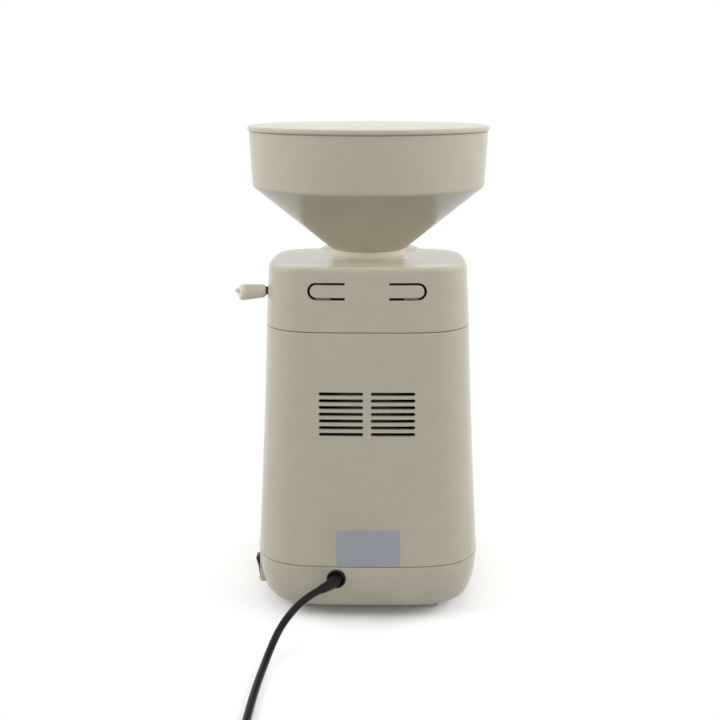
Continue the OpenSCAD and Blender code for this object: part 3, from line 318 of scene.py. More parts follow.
class Finish:
    """A material: object coordinates, a principled shader, and helpers that add nodes to it."""

    def __init__(self, name, roughness, metallic=0.0):
        self.look = bpy.data.materials.new(name)
        self.look.use_nodes = True
        self.tree = self.look.node_tree
        self.tree.nodes.clear()
        self.shader = self.add("ShaderNodeBsdfPrincipled")
        self.shader.inputs["Roughness"].default_value = roughness
        self.shader.inputs["Metallic"].default_value = metallic
        self.shader.inputs["IOR"].default_value = 1.5
        self.end = self.add("ShaderNodeOutputMaterial")
        self.link(self.shader.outputs["BSDF"], self.end.inputs["Surface"])
        self.where = self.add("ShaderNodeTexCoord").outputs["Object"]

    def add(self, kind, **settings):
        """A new node with its settings."""
        node = self.tree.nodes.new(kind)
        for key, value in settings.items():
            setattr(node, key, value)
        return node

    def link(self, source, target):
        """Joins an output to an input."""
        self.tree.links.new(source, target)

    def placed(self, kind, where=None, **numbers):
        """A new node fed with coordinates, its other inputs set to numbers by their names."""
        node = self.add(kind)
        self.link(where or self.where, node.inputs["Vector"])
        for key, number in numbers.items():
            node.inputs[key].default_value = number
        return node

    def stretched(self, x, y, z):
        """Object coordinates stretched along each axis."""
        return self.placed("ShaderNodeMapping", Scale=(x, y, z)).outputs["Vector"]

    def height(self):
        """Height in metres."""
        return self.placed("ShaderNodeSeparateXYZ").outputs["Z"]

    def noise(self, scale, detail, rough=0.5, where=None):
        """Smooth noise from 0 to 1."""
        return self.placed("ShaderNodeTexNoise", where, Scale=scale, Detail=detail, Roughness=rough).outputs["Fac"]

    def cells(self, scale):
        """Grains: the distance from each one's middle, and three numbers of its own."""
        node = self.placed("ShaderNodeTexVoronoi", Scale=scale)
        split = self.add("ShaderNodeSeparateColor")
        self.link(node.outputs["Color"], split.inputs["Color"])
        return node.outputs["Distance"], split.outputs

    def bands(self, scale):
        """Slightly uneven bands along Z."""
        node = self.placed("ShaderNodeTexWave", Scale=scale, Distortion=0.4)
        node.bands_direction = "Z"
        return node.outputs["Fac"]

    def span(self, value, low, high, to_low, to_high):
        """Takes a value from one range into another, clamped."""
        node = self.add("ShaderNodeMapRange")
        self.link(value, node.inputs["Value"])
        for key, number in zip(("From Min", "From Max", "To Min", "To Max"), (low, high, to_low, to_high)):
            node.inputs[key].default_value = number
        return node.outputs["Result"]

    def product(self, a, b):
        """One value times another."""
        node = self.add("ShaderNodeMath", operation="MULTIPLY")
        self.link(a, node.inputs[0])
        self.link(b, node.inputs[1])
        return node.outputs["Value"]

    def tones(self, value, colour, dark, pale, low=NOISE_LOW, high=NOISE_HIGH):
        """A screen colour times dark where the value is low, turning to the colour times pale where it is high."""
        node = self.add("ShaderNodeValToRGB")
        self.link(value, node.inputs["Fac"])
        for stop, place, by in zip(node.color_ramp.elements, (low, high), (dark, pale)):
            stop.position, stop.color = place, shade(colour, by)
        return node.outputs["Color"]

    def mix(self, share, value, colour):
        """A colour from a node, turning to a plain colour by a share."""
        node = self.add("ShaderNodeMix", data_type="RGBA")
        self.link(share, node.inputs[0])
        self.link(value, node.inputs[6])
        node.inputs[7].default_value = colour
        return node.outputs[2]

    def colour(self, value):
        """Sets the shader's colour."""
        self.link(value, self.shader.inputs["Base Color"])

    def rough(self, noise, low, high):
        """Lets the roughness follow a noise from low to high."""
        self.link(self.span(noise, NOISE_LOW, NOISE_HIGH, low, high), self.shader.inputs["Roughness"])

    def bump(self, value, depth, strength):
        """Raises the surface by a value, to a depth in metres."""
        node = self.add("ShaderNodeBump")
        self.link(value, node.inputs["Height"])
        node.inputs["Distance"].default_value = depth
        node.inputs["Strength"].default_value = strength
        self.link(node.outputs["Normal"], self.shader.inputs["Normal"])


# Painted light: the collar, the hopper's neck and its lower cone are made paler by height, standing in for light
# bounced up from the cover's top into the shade under the hopper. Heights in metres at which it starts and is full,
# then starts to fade and is gone, and its share
PAINTED_LIGHT_START, PAINTED_LIGHT_FULL, PAINTED_LIGHT_FADE, PAINTED_LIGHT_GONE, PAINTED_LIGHT_SHARE = 0.2555, 0.2575, 0.264, 0.298, 0.6


# Sizes of clouds and specks as the textures' scales, and a speck's core and edge as shares of its cell
CLOUD_SCALE, SPECK_SCALE, SPECK_CORE, SPECK_EDGE = 55, 1000, 0.16, 0.34


def moulded(name, colour, speck=0.9):
    """Moulded fibre plastic: faint clouds of about 20 mm, dark and pale specks under 1 mm, fine grain, and painted
    light: the colour is made paler over the heights of the collar, the hopper's neck and its lower cone, in place of
    bounced light."""
    f = Finish(name, 0.23)
    cloud = f.tones(f.noise(CLOUD_SCALE, 4, 0.6), colour, 0.988, 1.012)
    near, own = f.cells(SPECK_SCALE)
    dot = f.span(near, SPECK_CORE, SPECK_EDGE, 1, 0)
    dark = f.product(dot, f.span(own["Red"], 0.62, 0.9, 0, speck))
    pale = f.product(dot, f.span(own["Green"], 0.66, 0.9, 0, speck))
    # Painted light: a paler colour by height over the collar, the neck and the lower cone, standing in for light
    # bounced up from the cover's top
    height = f.height()
    painted_light = f.product(f.span(height, PAINTED_LIGHT_START, PAINTED_LIGHT_FULL, 0, PAINTED_LIGHT_SHARE), f.span(height, PAINTED_LIGHT_FADE, PAINTED_LIGHT_GONE, 1, 0))
    cloud = f.mix(painted_light, cloud, shade(colour, 1.2))
    f.colour(f.mix(pale, f.mix(dark, cloud, shade(colour, 0.84)), shade(colour, 1.1)))
    f.rough(f.noise(240, 2), 0.2, 0.26)
    f.bump(f.noise(1500, 3, 0.6), 0.00004, 0.5)
    return f.look


def plain(name, colour, roughness, grain, depth, spread=0.06, gloss=0.5):
    """Plastic or rubber: a faint cloud in its colour and a grain of its own size."""
    f = Finish(name, roughness)
    f.shader.inputs["Specular IOR Level"].default_value = gloss
    f.colour(f.tones(f.noise(160, 3), colour, 1 - spread, 1 + spread))
    f.rough(f.noise(420, 2), roughness - 0.05, roughness + 0.06)
    f.bump(f.noise(grain, 2, 0.6), depth, 0.6)
    return f.look


def metal(name, colour, roughness, stretch=None, scale=900, depth=0.00003):
    """Metal: drawn lines where the grain is stretched, cast grain where it isn't."""
    f = Finish(name, roughness, metallic=1.0)
    grain = f.noise(scale, 3, 0.6, f.stretched(*stretch) if stretch else None)
    f.colour(f.tones(grain, colour, 0.93, 1.04))
    f.rough(grain, roughness - 0.07, roughness + 0.1)
    f.bump(grain, depth, 0.5)
    return f.look


def layered(name, colour, roughness, metallic, scale, depth):
    """Stacked sheets or wound wire: bands along Z in colour and relief."""
    f = Finish(name, roughness, metallic)
    bands = f.bands(scale)
    f.colour(f.tones(bands, colour, 0.78, 1.05, 0.1, 0.8))
    f.bump(bands, depth, 0.7)
    return f.look


def mineral(name, colour):
    """Bonded mineral: coarse grains of two tones with pits between them."""
    f = Finish(name, 0.85)
    near, own = f.cells(420)
    f.colour(f.tones(own["Red"], colour, 0.82, 1.1, 0.1, 0.9))
    f.bump(near, 0.0004, 0.6)
    return f.look


BEIGE = moulded("moulded_beige", (174, 168, 150))
GRIP = moulded("lever_beige", (208, 203, 188), 0.4)
FOOT = plain("foot_rubber", (172, 168, 154), 0.7, 900, 0.00005)
RUBBER = plain("black_rubber", (15, 14, 14), 0.46, 1400, 0.00004, 0.12, 0.25)
BLACK = plain("black_plastic", (24, 24, 25), 0.36, 1800, 0.00003, 0.1, 0.35)
STEEL = metal("drawn_steel", (168, 170, 174), 0.32, (1, 1, 0.05))
CAST = metal("cast_aluminium", (186, 188, 190), 0.46, None, 700, 0.00012)
DARK = metal("blackened_metal", (62, 63, 66), 0.42)
FOIL = plain("plate_silver", (150, 153, 160), 0.42, 2200, 0.000006, 0.015, 0.35)
STONE = mineral("mill_stone", (206, 203, 192))
CORE = layered("laminated_core", (84, 86, 90), 0.5, 1.0, 320, 0.0001)
COPPER = layered("varnished_copper", (170, 96, 58), 0.35, 0.8, 420, 0.0002)
FELT = plain("felt", (217, 212, 194), 0.95, 700, 0.0003)
PALE = plain("pale_plastic", (217, 214, 204), 0.5, 1200, 0.00004)

# Camera: the photograph's own place, height and tilt; lengths in millimetres, the shift in widths of the picture
YAW, PITCH = math.radians(-0.774), math.radians(13.405)
CAMERA_BACK, CAMERA_HIGH = 874.2, 382.66
SENSOR, LENS, SHIFT_X = 36.0, 58.915, -0.01178
ahead = np.array([-math.sin(YAW) * math.cos(PITCH), -math.cos(YAW) * math.cos(PITCH), -math.sin(PITCH)])
right = np.array([-math.cos(YAW), math.sin(YAW), 0.0])
turn = np.eye(4)
turn[:3, 0], turn[:3, 1], turn[:3, 2] = right, np.cross(right, ahead), -ahead
turn[:3, 3] = to_frame([math.sin(YAW) * CAMERA_BACK, math.cos(YAW) * CAMERA_BACK, CAMERA_HIGH])
camera = bpy.data.objects.new("camera", bpy.data.cameras.new("camera"))
bpy.context.scene.collection.objects.link(camera)
camera.matrix_world = Matrix(turn.tolist())
camera.data.sensor_fit, camera.data.sensor_width = "HORIZONTAL", SENSOR
camera.data.lens, camera.data.shift_x = LENS, SHIFT_X
bpy.context.scene.camera = camera

# Mains lead: sleeve, free stretch, coil of two layers, tie, plug and pins
GLAND_Y = float(back_y(base_half(GLAND_Z), GLAND_X))
GLAND = np.array([GLAND_X, GLAND_Y, GLAND_Z])
LANE, COIL_BACK, LOW, COIL_LOW = 71.8, 213.2, 2.8, 3.6
IN_PLUG, LEAD_RINGS, LEAD_SIDES = 4.0, 760, 16


def lead_points(steps):
    """Shares across to the lane, down to the floor and up to the coil, with the distance behind the back wall."""
    s = np.asarray(steps, float)
    return np.column_stack([GLAND_X + s[:, 0] * (LANE - GLAND_X), GLAND_Y + s[:, 1],
                            LOW + s[:, 2] * (GLAND_Z - LOW) + s[:, 3] * (COIL_LOW - LOW)])


SLEEVE = lead_points([[.004, 1.18, 1, 0], [.023, 4.84, 1, 0], [.06, 8.92, .998, 0], [.118, 12.93, .99, 0],
                      [.204, 16.97, .968, 0]])
FREE = lead_points([[.292, 20.22, .928, 0], [.383, 23.14, .866, 0], [.522, 27.51, .719, 0], [.648, 32.42, .531, 0],
                    [.752, 38.97, .336, 0], [.825, 47.71, .171, 0], [.875, 58.71, .06, 0], [.908, 70.75, .007, 0],
                    [.932, 83.75, 0, 0], [.952, 97.25, 0, 0], [.968, 111.25, 0, 0], [.98, 125.25, 0, 0],
                    [.988, 139.25, 0, 0], [.994, 153.25, 0, 0], [.998, 167.25, 0, .12], [1, 181.25, 0, .5],
                    [1, 195.25, 0, 1], [1, 208, 0, 1]])
TURNS, COIL_IN, PITCH_MM, LAYER = 6.25, 23.0, 5.9, 5.8
COIL_OUT = COIL_IN + PITCH_MM * TURNS / 2
COIL_X, COIL_Y = LANE - COIL_OUT, GLAND_Y + COIL_BACK


def coil_points(a):
    """Coil at the angles a, in degrees: winds in, climbs a layer in the middle half turn, and winds out again."""
    middle = 180 * TURNS
    r = COIL_IN + PITCH_MM * np.abs(a - middle) / 360
    u = np.clip((a - middle + 90) / 180, 0, 1)
    return np.column_stack([COIL_X + r * np.cos(np.radians(a)), COIL_Y + r * np.sin(np.radians(a)),
                            COIL_LOW + LAYER * u * u * (3 - 2 * u)])


EXIT = GLAND[None]
COIL = coil_points(np.linspace(0, 360 * TURNS, 151))
LEAD_END = COIL[-1:] + [[-2 * CORD_R, 0, 0]]
LEAD = np.concatenate([EXIT, SLEEVE, FREE, COIL, LEAD_END])
run = np.concatenate([[0], np.cumsum(np.linalg.norm(np.diff(LEAD, axis=0), axis=1))])
fine = hermite(np.linspace(0, run[-1], LEAD_RINGS), run, LEAD)
lead = solid("mains_lead", tube(np.concatenate([fine, LEAD_END - [[IN_PLUG, 0, 0]]]), CORD_R, LEAD_SIDES))
dress(lead, "mill", RUBBER, "black_rubber", "mains_cord", "cord_coil")

# Sleeve: tapers along the lead's first bend, with rounded grooves; they start to show a little way out
SLEEVE_R = [4.3, 4.2, 4.0, 3.6, 3.05]
GROOVE, GROOVE_PITCH, GROOVE_FROM, GROOVE_RISE = 0.24, 2.6, 2.2, 1.2
sleeve_run = run[1:6] - run[1]
s = np.linspace(0, sleeve_run[-1], 120)
taper = np.interp(s, sleeve_run, SLEEVE_R)
groove = GROOVE * np.clip(np.cos(2 * np.pi * s / GROOVE_PITCH), 0, 1) ** 3
groove *= np.clip((s - GROOVE_FROM) / GROOVE_RISE, 0, 1)
sleeve_path = hermite(s, sleeve_run, SLEEVE)
flange = revolve(fillets([(0, -3, 0), (5.3, -3, 0), (5.3, 0.3, 0), (7.0, 0.3, 0.25), (6.8, 2.1, 0.7), (5.5, 2.1, 0.6),
                          (4.6, -1.2, 0.3), (0, -1.2, 0)]), 64, False)
ALONG_Y = [[1, 0, 0], [0, 0, -1], [0, 1, 0]]
sleeve = solid("lead_sleeve", together(tube(sleeve_path, taper - groove, 24),
                                       moved(flange, GLAND, ALONG_Y)))
dress(sleeve, "mill", RUBBER, "black_rubber", "strain_relief")

# Tie: flat band round all the loops on the side away from the lane, with its buckle
TIE_TOP, TIE_ROUND, TIE_ROOM, TIE_POINTS = 13.0, 1.4, 2.9, 96
BUCKLE_L, BUCKLE_W, BUCKLE_DOWN = 7, 5.6, 1.6
tie_from, tie_to = COIL_IN + 0.2 * PITCH_MM - TIE_ROOM, COIL_OUT - 0.3 * PITCH_MM + TIE_ROOM
band_w, band_x = tie_to - tie_from, COIL_X - (tie_from + tie_to) / 2
BAND = ((0, -1.9), (0.15, -2), (0.55, -2), (0.7, -1.85), (0.7, 1.85), (0.55, 2), (0.15, 2), (0, 1.9))
BUCKLE = [(0.3, 0), (0, 0.3), (0, 1.1), (0.15, 1.35), (0.5, 1.5)]


def band_ring(grow, y):
    """Rounded rectangle round the loops, grown outwards, at y across the band."""
    p = rounded_rect(band_w + 2 * grow, TIE_TOP - TIE_ROUND + 2 * grow, TIE_ROUND + grow, TIE_POINTS)
    return np.column_stack([band_x + p[:, 0], np.full(TIE_POINTS, COIL_Y + y), TIE_TOP / 2 + p[:, 1]])


def buckle_place(p, height):
    """Puts a flat point of the buckle on the band, at a height over the buckle's foot."""
    return np.column_stack([band_x + p[:, 0], COIL_Y + p[:, 1], np.full(len(p), TIE_TOP - BUCKLE_DOWN + height)])


tie = solid("lead_tie", together(
    loft([band_ring(*row) for row in BAND], loop=True),
    pillow(lambda d: rounded_rect(BUCKLE_L - 2 * d, BUCKLE_W - 2 * d, 1.0 - d * 0.6, 48), BUCKLE, buckle_place)))
dress(tie, "mill", BLACK, "black_plastic", "cord_tie")

# Plug: ribbed neck, taper to a flat round-ended body with grip grooves, two pins
PLUG = LEAD_END[0]
PLUG_W, PLUG_H, PLUG_R, PIN_OUT = 36, 18.8, 9.39, 9.5
PLUG_NECK, NECK_D, PLUG_TAPER, NECK_RIB, GRIP_RIB, RIB_DEEP = 12, 9.2, 22, 2.8, 3.2, 0.5


def plug_ring(l, w, h, r):
    """Rounded rectangle across the plug, l along it from the lead's end towards -X."""
    p = rounded_rect(w, h, r, 64)
    return np.column_stack([np.full(64, PLUG[0] - l), PLUG[1] + p[:, 0], PLUG[2] + p[:, 1]])


plug_rows = [plug_ring(0, 5.6, 5.6, 2.8)]
for l in np.linspace(0.2, 11.4, 57):
    rib = RIB_DEEP * max(0, math.cos(2 * math.pi * l / NECK_RIB)) ** 3 * min(1, l / 2)
    d = 2 * (3.3 + 1.3 * l / PLUG_NECK - rib)
    plug_rows.append(plug_ring(l, d, d, d / 2))
for u in np.linspace(0.04, 1, 18):
    swell = 3 * u**2 - 2 * u**3
    w, h = NECK_D + (PLUG_W - NECK_D) * swell, NECK_D + (PLUG_H - NECK_D) * swell
    plug_rows.append(plug_ring(PLUG_NECK + PLUG_TAPER * u, w, h, h / 2 - 0.01))
for l in np.linspace(34.4, 46, 60):
    dip = RIB_DEEP * max(0, math.cos(2 * math.pi * (l - 36) / GRIP_RIB)) ** 3 if 35 < l < 45 else 0
    plug_rows.append(plug_ring(l, PLUG_W - 2 * dip, PLUG_H - 2 * dip, PLUG_R - dip))
for l, d in ((49.6, 0), (50.6, 0.15), (51.2, 0.6), (51.5, 1.2)):
    plug_rows.append(plug_ring(l, PLUG_W - 2 * d, PLUG_H - 2 * d, PLUG_R - d))
plug = solid("lead_plug", capped(plug_rows))
dress(plug, "mill", RUBBER, "black_rubber", "mains_plug")
pin = revolve(fillets([(0, 50, 0), (2.4, 50, 0), (2.4, 70.5, 1.3), (0, 70.5, 0)]), 32, False)
BACKWARDS = [[0, 0, -1], [0, 1, 0], [-1, 0, 0]]
pins = solid("lead_pins", together(*[moved(pin, PLUG + [0, y, 0], BACKWARDS) for y in (-PIN_OUT, PIN_OUT)]))
dress(pins, "mill", STEEL, "steel", "plug_pins")

# Lid: flat disc with a soft upper edge, seat ring and skirt; profiles list radius, height and rounding
RIM_Z, LID_Z, LID_TOP, SKIRT_Z = 346.2, 346.8, 350.2, 340.2
BOWL_SIDES, ARC_STEPS = 192, 8
lid_profile = fillets([(0, LID_Z, 0), (81.7, LID_Z, 0.5), (81.7, SKIRT_Z, 0.4), (83.7, SKIRT_Z, 0.4), (83.7, LID_Z, 0),
                       (84.7, LID_Z, 0), (84.7, RIM_Z, 0), (86.1, RIM_Z, 0), (86.1, LID_Z, 0.1), (88, LID_Z, 0.7),
                       (88, LID_TOP, 1.7), (0, LID_TOP, 0)], ARC_STEPS)
lid = solid("lid_disc", revolve(lid_profile, BOWL_SIDES, False))
dress(lid, "lid", BEIGE, "moulded_beige", "hopper_lid")

# Hopper: outlet tube, foot, cone, rounded shoulder, drafted wall and rounded rim
hopper_profile = fillets([(22.1, 254, 0), (22.1, 247, 0.6), (24.5, 247, 0.6), (24.5, 261, 0), (27.9, 261, 0.5),
                          (84.9, 307.0, 3.2), (86.9, RIM_Z, 0.6), (84.5, RIM_Z, 0.6), (82.6, 307.9, 1.6),
                          (24.06, 260.66, 3.0), (22.1, 254, 0)], ARC_STEPS)
hopper = solid("hopper_bowl", revolve(hopper_profile[:-1], BOWL_SIDES, True))
dress(hopper, "hopper", BEIGE, "moulded_beige", "hopper")

# Top cover: flank, soft edge, falling top, collar and bore, ceiling and inner wall
COLLAR_R, COLLAR_TOP, BORE_R, CEILING = 28.5, 261.0, 24.8, COVER_TOP - WALL
NECK_ROUND, COLLAR_ROUND, BORE_ROUND = 1.2, 0.7, 0.5
cover_rows = edge_over(SEAM_HALF, COVER_SEAM)
cover_rows += [ring(cover_half(COVER_SEAM + u * FLANK_H), COVER_SEAM + u * FLANK_H, u * FALL)
               for u in np.linspace(0.05, 1, 20)]
cover_rows += [ring(TOP_HALF - EDGE * (1 - math.cos(b)), COVER_TOP - EDGE * (1 - math.sin(b)), FALL)
               for b in np.linspace(0, np.pi / 2, 11)[1:]]
COVER_SKIN = list(cover_rows)
bearing = np.arctan2(cover_rows[-1][:, 1], cover_rows[-1][:, 0])


def collar_ring(r, z, lean=0.0):
    """Circle about the shaft at the bearings of the plan's points."""
    y = r * np.sin(bearing)
    return np.column_stack([r * np.cos(bearing), y, z + lean * y])


def between(first, last, shares):
    """Rings on the way from one ring to another."""
    return [(1 - t) * first + t * last for t in shares]


cover_rows += between(COVER_SKIN[-1], collar_ring(COLLAR_R, COVER_TOP, FALL), np.linspace(0, 1, 14)[1:])
cover_rows += [collar_ring(COLLAR_R - NECK_ROUND * math.sin(b), COVER_TOP + NECK_ROUND * (1 - math.cos(b)), FALL)
               for b in QUARTER[1:]]
cover_rows += [collar_ring(COLLAR_R - NECK_ROUND - COLLAR_ROUND * (1 - math.cos(b)),
                           COLLAR_TOP - COLLAR_ROUND * (1 - math.sin(b))) for b in QUARTER]
cover_rows += [collar_ring(BORE_R + BORE_ROUND * (1 - math.sin(b)), COLLAR_TOP - BORE_ROUND * (1 - math.cos(b)))
               for b in QUARTER]
cover_rows += [collar_ring(BORE_R, COVER_TOP - 1, FALL), collar_ring(BORE_R, CEILING, FALL)]
cover_rows += between(cover_rows[-1], ring(TOP_HALF - WALL - 2, CEILING, FALL), (0.2, 0.4, 0.6, 0.8, 1))
cover_rows += [ring(TOP_HALF - WALL, CEILING - 2, FALL), ring(SEAM_HALF - WALL, COVER_SEAM + SEAM_GAP)]
cover = solid("cover_shell", loft(cover_rows, loop=True))


def latch_outline(root, reach, high):
    """Level strip from root to reach, its outer end a half circle."""
    a = np.linspace(-np.pi / 2, np.pi / 2, 33)
    x = np.concatenate([np.linspace(root, reach - high / 2, 16)[:-1], reach - high / 2 + high / 2 * np.cos(a),
                        np.linspace(reach - high / 2, root, 16)[1:]])
    z = np.concatenate([np.full(15, -high / 2), high / 2 * np.sin(a), np.full(15, high / 2)])
    return np.column_stack([x, LATCH_Z + z])


def through_back(outline, y0, y1):
    """Upright prism of an outline in x and z."""
    return capped([np.column_stack([outline[:, 0], np.full(len(outline), y), outline[:, 1]]) for y in (y0, y1)])


def duct_notch(z0, z1):
    """Box in the front walls that leaves room for the duct and the spout's throat."""
    return block(-22.3, 22.3, -121, -62, z0, z1)


# Root, reach and height of a latch's tongue and of the window that it lies in
TONGUE_ROOT, TONGUE_REACH, TONGUE_H = 15.2, 39.5, 8.8
WINDOW_ROOT, WINDOW_REACH, WINDOW_H = 15.3, 41.2, 12.2
MIRROR = np.diag([-1.0, 1, 1])
SLOT_L, SLOT_H, SLOT_R, SLOT_Y = 72.5, 10.6, 5.29, -0.75
window = through_back(latch_outline(WINDOW_ROOT, WINDOW_REACH, WINDOW_H), 69.2, 84)
slot_end = rounded_rect(SLOT_L, SLOT_H, SLOT_R, 48)
lever_slot = capped([np.column_stack([np.full(len(slot_end), x), SLOT_Y + slot_end[:, 0], LEVER_Z + slot_end[:, 1]])
                     for x in (63.6, 83.6)])
cut(cover, together(window, moved(window, axes=MIRROR), lever_slot, duct_notch(205, 226.8)))
dress(cover, "mill", BEIGE, "moulded_beige", "top_cover")


def tongue_place(p, depth):
    """Puts a flat point of the tongue into the cover's back wall, at a depth below its skin."""
    return np.column_stack([p[:, 0], cover_back_y(p[:, 0], p[:, 1]) - depth, p[:, 1]])


tongue = pillow(lambda d: latch_outline(TONGUE_ROOT, TONGUE_REACH - d, TONGUE_H - 2 * d),
                [(0.3, 2.8), (0, 2.5), (0, 0.4), (0.06, 0.18), (0.18, 0.05), (0.35, 0)], tongue_place)
for side, part in (("left", tongue), ("right", moved(tongue, axes=MIRROR))):
    dress(solid(side + "_tongue", part), side + "_latch", BEIGE, "moulded_beige", "latch_tongue_" + side)

# Motor housing: drafted flanks, lip, vents, notch for the duct, brackets, bosses and latch posts
HOUSING_LIP, VENT_X, VENT_Z, VENT_PITCH, VENT_L, VENT_H, VENT_R = 70.8, 18.25, 154.2, 4.83, 31.2, 2.5, 1.249
BOSS_LOW, BOSS_TOP, BRACKET_LOW, BRACKET_TOP = 47.2, 63.2, 181, 193
SCREWS = [(x, y) for x in (-40, 40) for y in (-72, 72)]
levels = np.linspace(BASE_SEAM + 2, COVER_SEAM - 2, 40)
housing_rows = edge_over(BASE_HALF, BASE_SEAM) + [ring(housing_half(z), z) for z in levels]
housing_rows += edge_under(SEAM_HALF, COVER_SEAM)
HOUSING_SKIN = list(housing_rows)
housing_rows += lip(HOUSING_LIP, COVER_SEAM, 216, 209)
housing_rows += [ring(housing_half(z) - WALL, z) for z in (206, 127, BASE_SEAM)]
housing = solid("housing_shell", loft(housing_rows, loop=True))
slot_shape = rounded_rect(VENT_L, VENT_H, VENT_R, 32)
vents = [through_back(slot_shape + [x * VENT_X, VENT_Z + k * VENT_PITCH], 70, 95)
         for x in (-1, 1) for k in range(-3, 4)]
cut(housing, together(*vents, duct_notch(205.7, 240)))
inner = [block(x0, x1, -10, 10, BRACKET_LOW, BRACKET_TOP) for x0, x1 in ((60.7, 73.6), (-73.6, -60.7))]
inner += [block(-10, 10, y0, y1, BRACKET_LOW, BRACKET_TOP) for y0, y1 in ((65.3, 78.2), (-78.2, -65.3))]
inner += [moved(drum(5, BOSS_LOW, BOSS_TOP, 32), (x, y, 0)) for x, y in SCREWS]
inner += [block(x - 2, x + 2, *sorted((y, y * 1.12)), BOSS_LOW, BOSS_TOP) for x, y in SCREWS]
inner += [block(*sorted((x * 25.4, x * 35.6)), 70.2, back, 210, top)
          for back, top in ((72.2, 235.8), (73.6, 215)) for x in (-1, 1)]
ribs = solid("housing_ribs", together(*inner))
dress(ribs, "mill", BEIGE, "moulded_beige")
dress(housing, "mill", BEIGE, "moulded_beige", "motor_housing")

# Blank rating plate on the housing's back, with a shallow pressed line inside its edge
PLATE_X, PLATE_Z, PLATE_W, PLATE_H, PLATE_LEAN = -0.9, 56.0, 45.3, 26.6, math.radians(0.9)
PLATE = [(0.2, -0.5), (0, -0.3), (0, 0.2), (0.1, 0.28), (0.9, 0.28), (1.1, 0.24), (1.3, 0.24), (1.5, 0.28)]


def plate_place(p, height):
    """Puts a flat point of the plate on the housing's back, leaning, at a height over the skin."""
    x = p[:, 0] * math.cos(PLATE_LEAN) + p[:, 1] * math.sin(PLATE_LEAN) + PLATE_X
    z = p[:, 1] * math.cos(PLATE_LEAN) - p[:, 0] * math.sin(PLATE_LEAN) + PLATE_Z
    return np.column_stack([x, back_y(housing_half(z), x) + height, z])


plate = solid("blank_plate", pillow(lambda d: rounded_rect(PLATE_W - 2 * d, PLATE_H - 2 * d, 1.4 - min(d, 1.2), 96),
                                    PLATE, plate_place))
dress(plate, "mill", FOIL, "plate_silver", "rating_plate")

# Base: bottom, drawn-in flank, lip, inner wall and floor; slots, screw holes, gland hole and switch seat
BASE_LIP, INNER_FLOOR, INNER_BEND = 79.3, 12.5, 20.5
SWITCH_Y, SWITCH_Z, SEAT_X, SEAT_W, SEAT_H = 42, 25.2, 80.6, 18, 23.6
FEET = [(x, y) for x in (-46, 46) for y in (-55, 55)]
theta = np.linspace(np.pi / 2, 0, 26)
base_z = BASE_SEAM - (BASE_SEAM - FLOOR_Z) * np.sin(theta) ** (2 / BASE_ROUND)
base_rows = [ring(BASE_HALF - BASE_DRAW, FLOOR_Z) * [t, t, 1] for t in (0, 0.2, 0.4, 0.6, 0.8, 0.94)]
base_rows += [ring(base_half(z), z) for z in base_z[base_z < BASE_SEAM - 0.8]]
base_rows += edge_under(BASE_HALF, BASE_SEAM) + lip(BASE_LIP, BASE_SEAM, 46.2, 39.2)
base_rows += [ring(base_half(INNER_BEND) - WALL, INNER_BEND)]
base_rows += [ring(base_half(INNER_FLOOR) - WALL - 2, INNER_FLOOR) * [t, t, 1] for t in (1, 0.75, 0.5, 0.25, 0)]
base = solid("base_shell", loft(base_rows))
holes = [block(k * 7 - 1.5, k * 7 + 1.5, -26, 14, 8, 14) for k in range(-3, 4)]
holes += [moved(drum(3.5, 8, 12.2, 40), (x, y, 0)) for x, y in SCREWS]
holes += [block(SEAT_X, 95, 33, 51, 13.4, 37), moved(drum(5.5, -12, 12, 40), GLAND, ALONG_Y)]
cut(base, together(*holes))
dress(base, "mill", BEIGE, "moulded_beige", "base_tray")


def across_switch(p, x):
    """Flat points set upright across the switch at x."""
    return np.column_stack([np.full(len(p), x), SWITCH_Y + p[:, 0], SWITCH_Z + p[:, 1]])


seat = pillow(lambda d: rounded_rect(SEAT_W - 2 * d, SEAT_H - 2 * d, 5.0 - d, 64),
              [(0, -9), (0, -0.8), (0.12, -0.4), (0.4, -0.12), (0.8, 0)], lambda p, d: across_switch(p, SEAT_X + d))
boss = revolve(fillets([(5.6, -3, 0), (7.5, -3, 0), (7.5, 0.3, 0.25), (5.6, 0.3, 0)]), 64, True)
seats = solid("base_seats", together(seat, moved(boss, GLAND, ALONG_Y)))
dress(seats, "mill", BEIGE, "moulded_beige")
foot = revolve(fillets([(0, 0, 0), (7.3, 0, 0.7), (7.8, 1.6, 0.6), (7.3, 9.7, 0), (0, 9.7, 0)]), 64, False)
feet = solid("foot_pads", together(*[moved(foot, (x, y, 0)) for x, y in FEET]))
dress(feet, "mill", FOOT, "foot_rubber", "rubber_feet")

# Rocker switch: frame with a well, and a hollow-faced key tipped with its upper half out. Frame rows are place,
# width, height and corner
frame_rows = [(66.4, 12.2, 17.2, 0.6), (80.4, 12.2, 17.2, 0.6), (80.4, 13.8, 18.4, 1.2), (80.9, 13.8, 18.4, 1.2),
              (81.12, 13.56, 18.16, 1.1), (81.2, 13, 17.6, 1.0), (81.2, 10.9, 17.3, 0.7), (81.0, 10.5, 17, 0.5),
              (80.8, 10.3, 16.9, 0.4), (74.4, 10.2, 16.8, 0.4)]
switch_frame = solid("switch_frame", capped([across_switch(rounded_rect(*size, 64), x) for x, *size in frame_rows]))
dress(switch_frame, "mill", BLACK, "black_plastic", "switch_body")
PINS_X, KEY_TIP = 79.5, math.radians(10)
KEY = ((-4.8, 0.45), (-4.68, 0.15), (-4.4, 0), (4.4, 0), (4.68, 0.15), (4.8, 0.45))
key_line = fillets([(-2.6, 0, 0), (-2.6, -1.6, 0.5), (0.6, -8, 0.4), (3.2, -8, 0.5), (2.7, 0, 14), (3.2, 8, 0.5),
                    (0.6, 8, 0.4), (-2.6, 1.6, 0.5), (-2.6, 0, 0)], ARC_STEPS)[:-1]


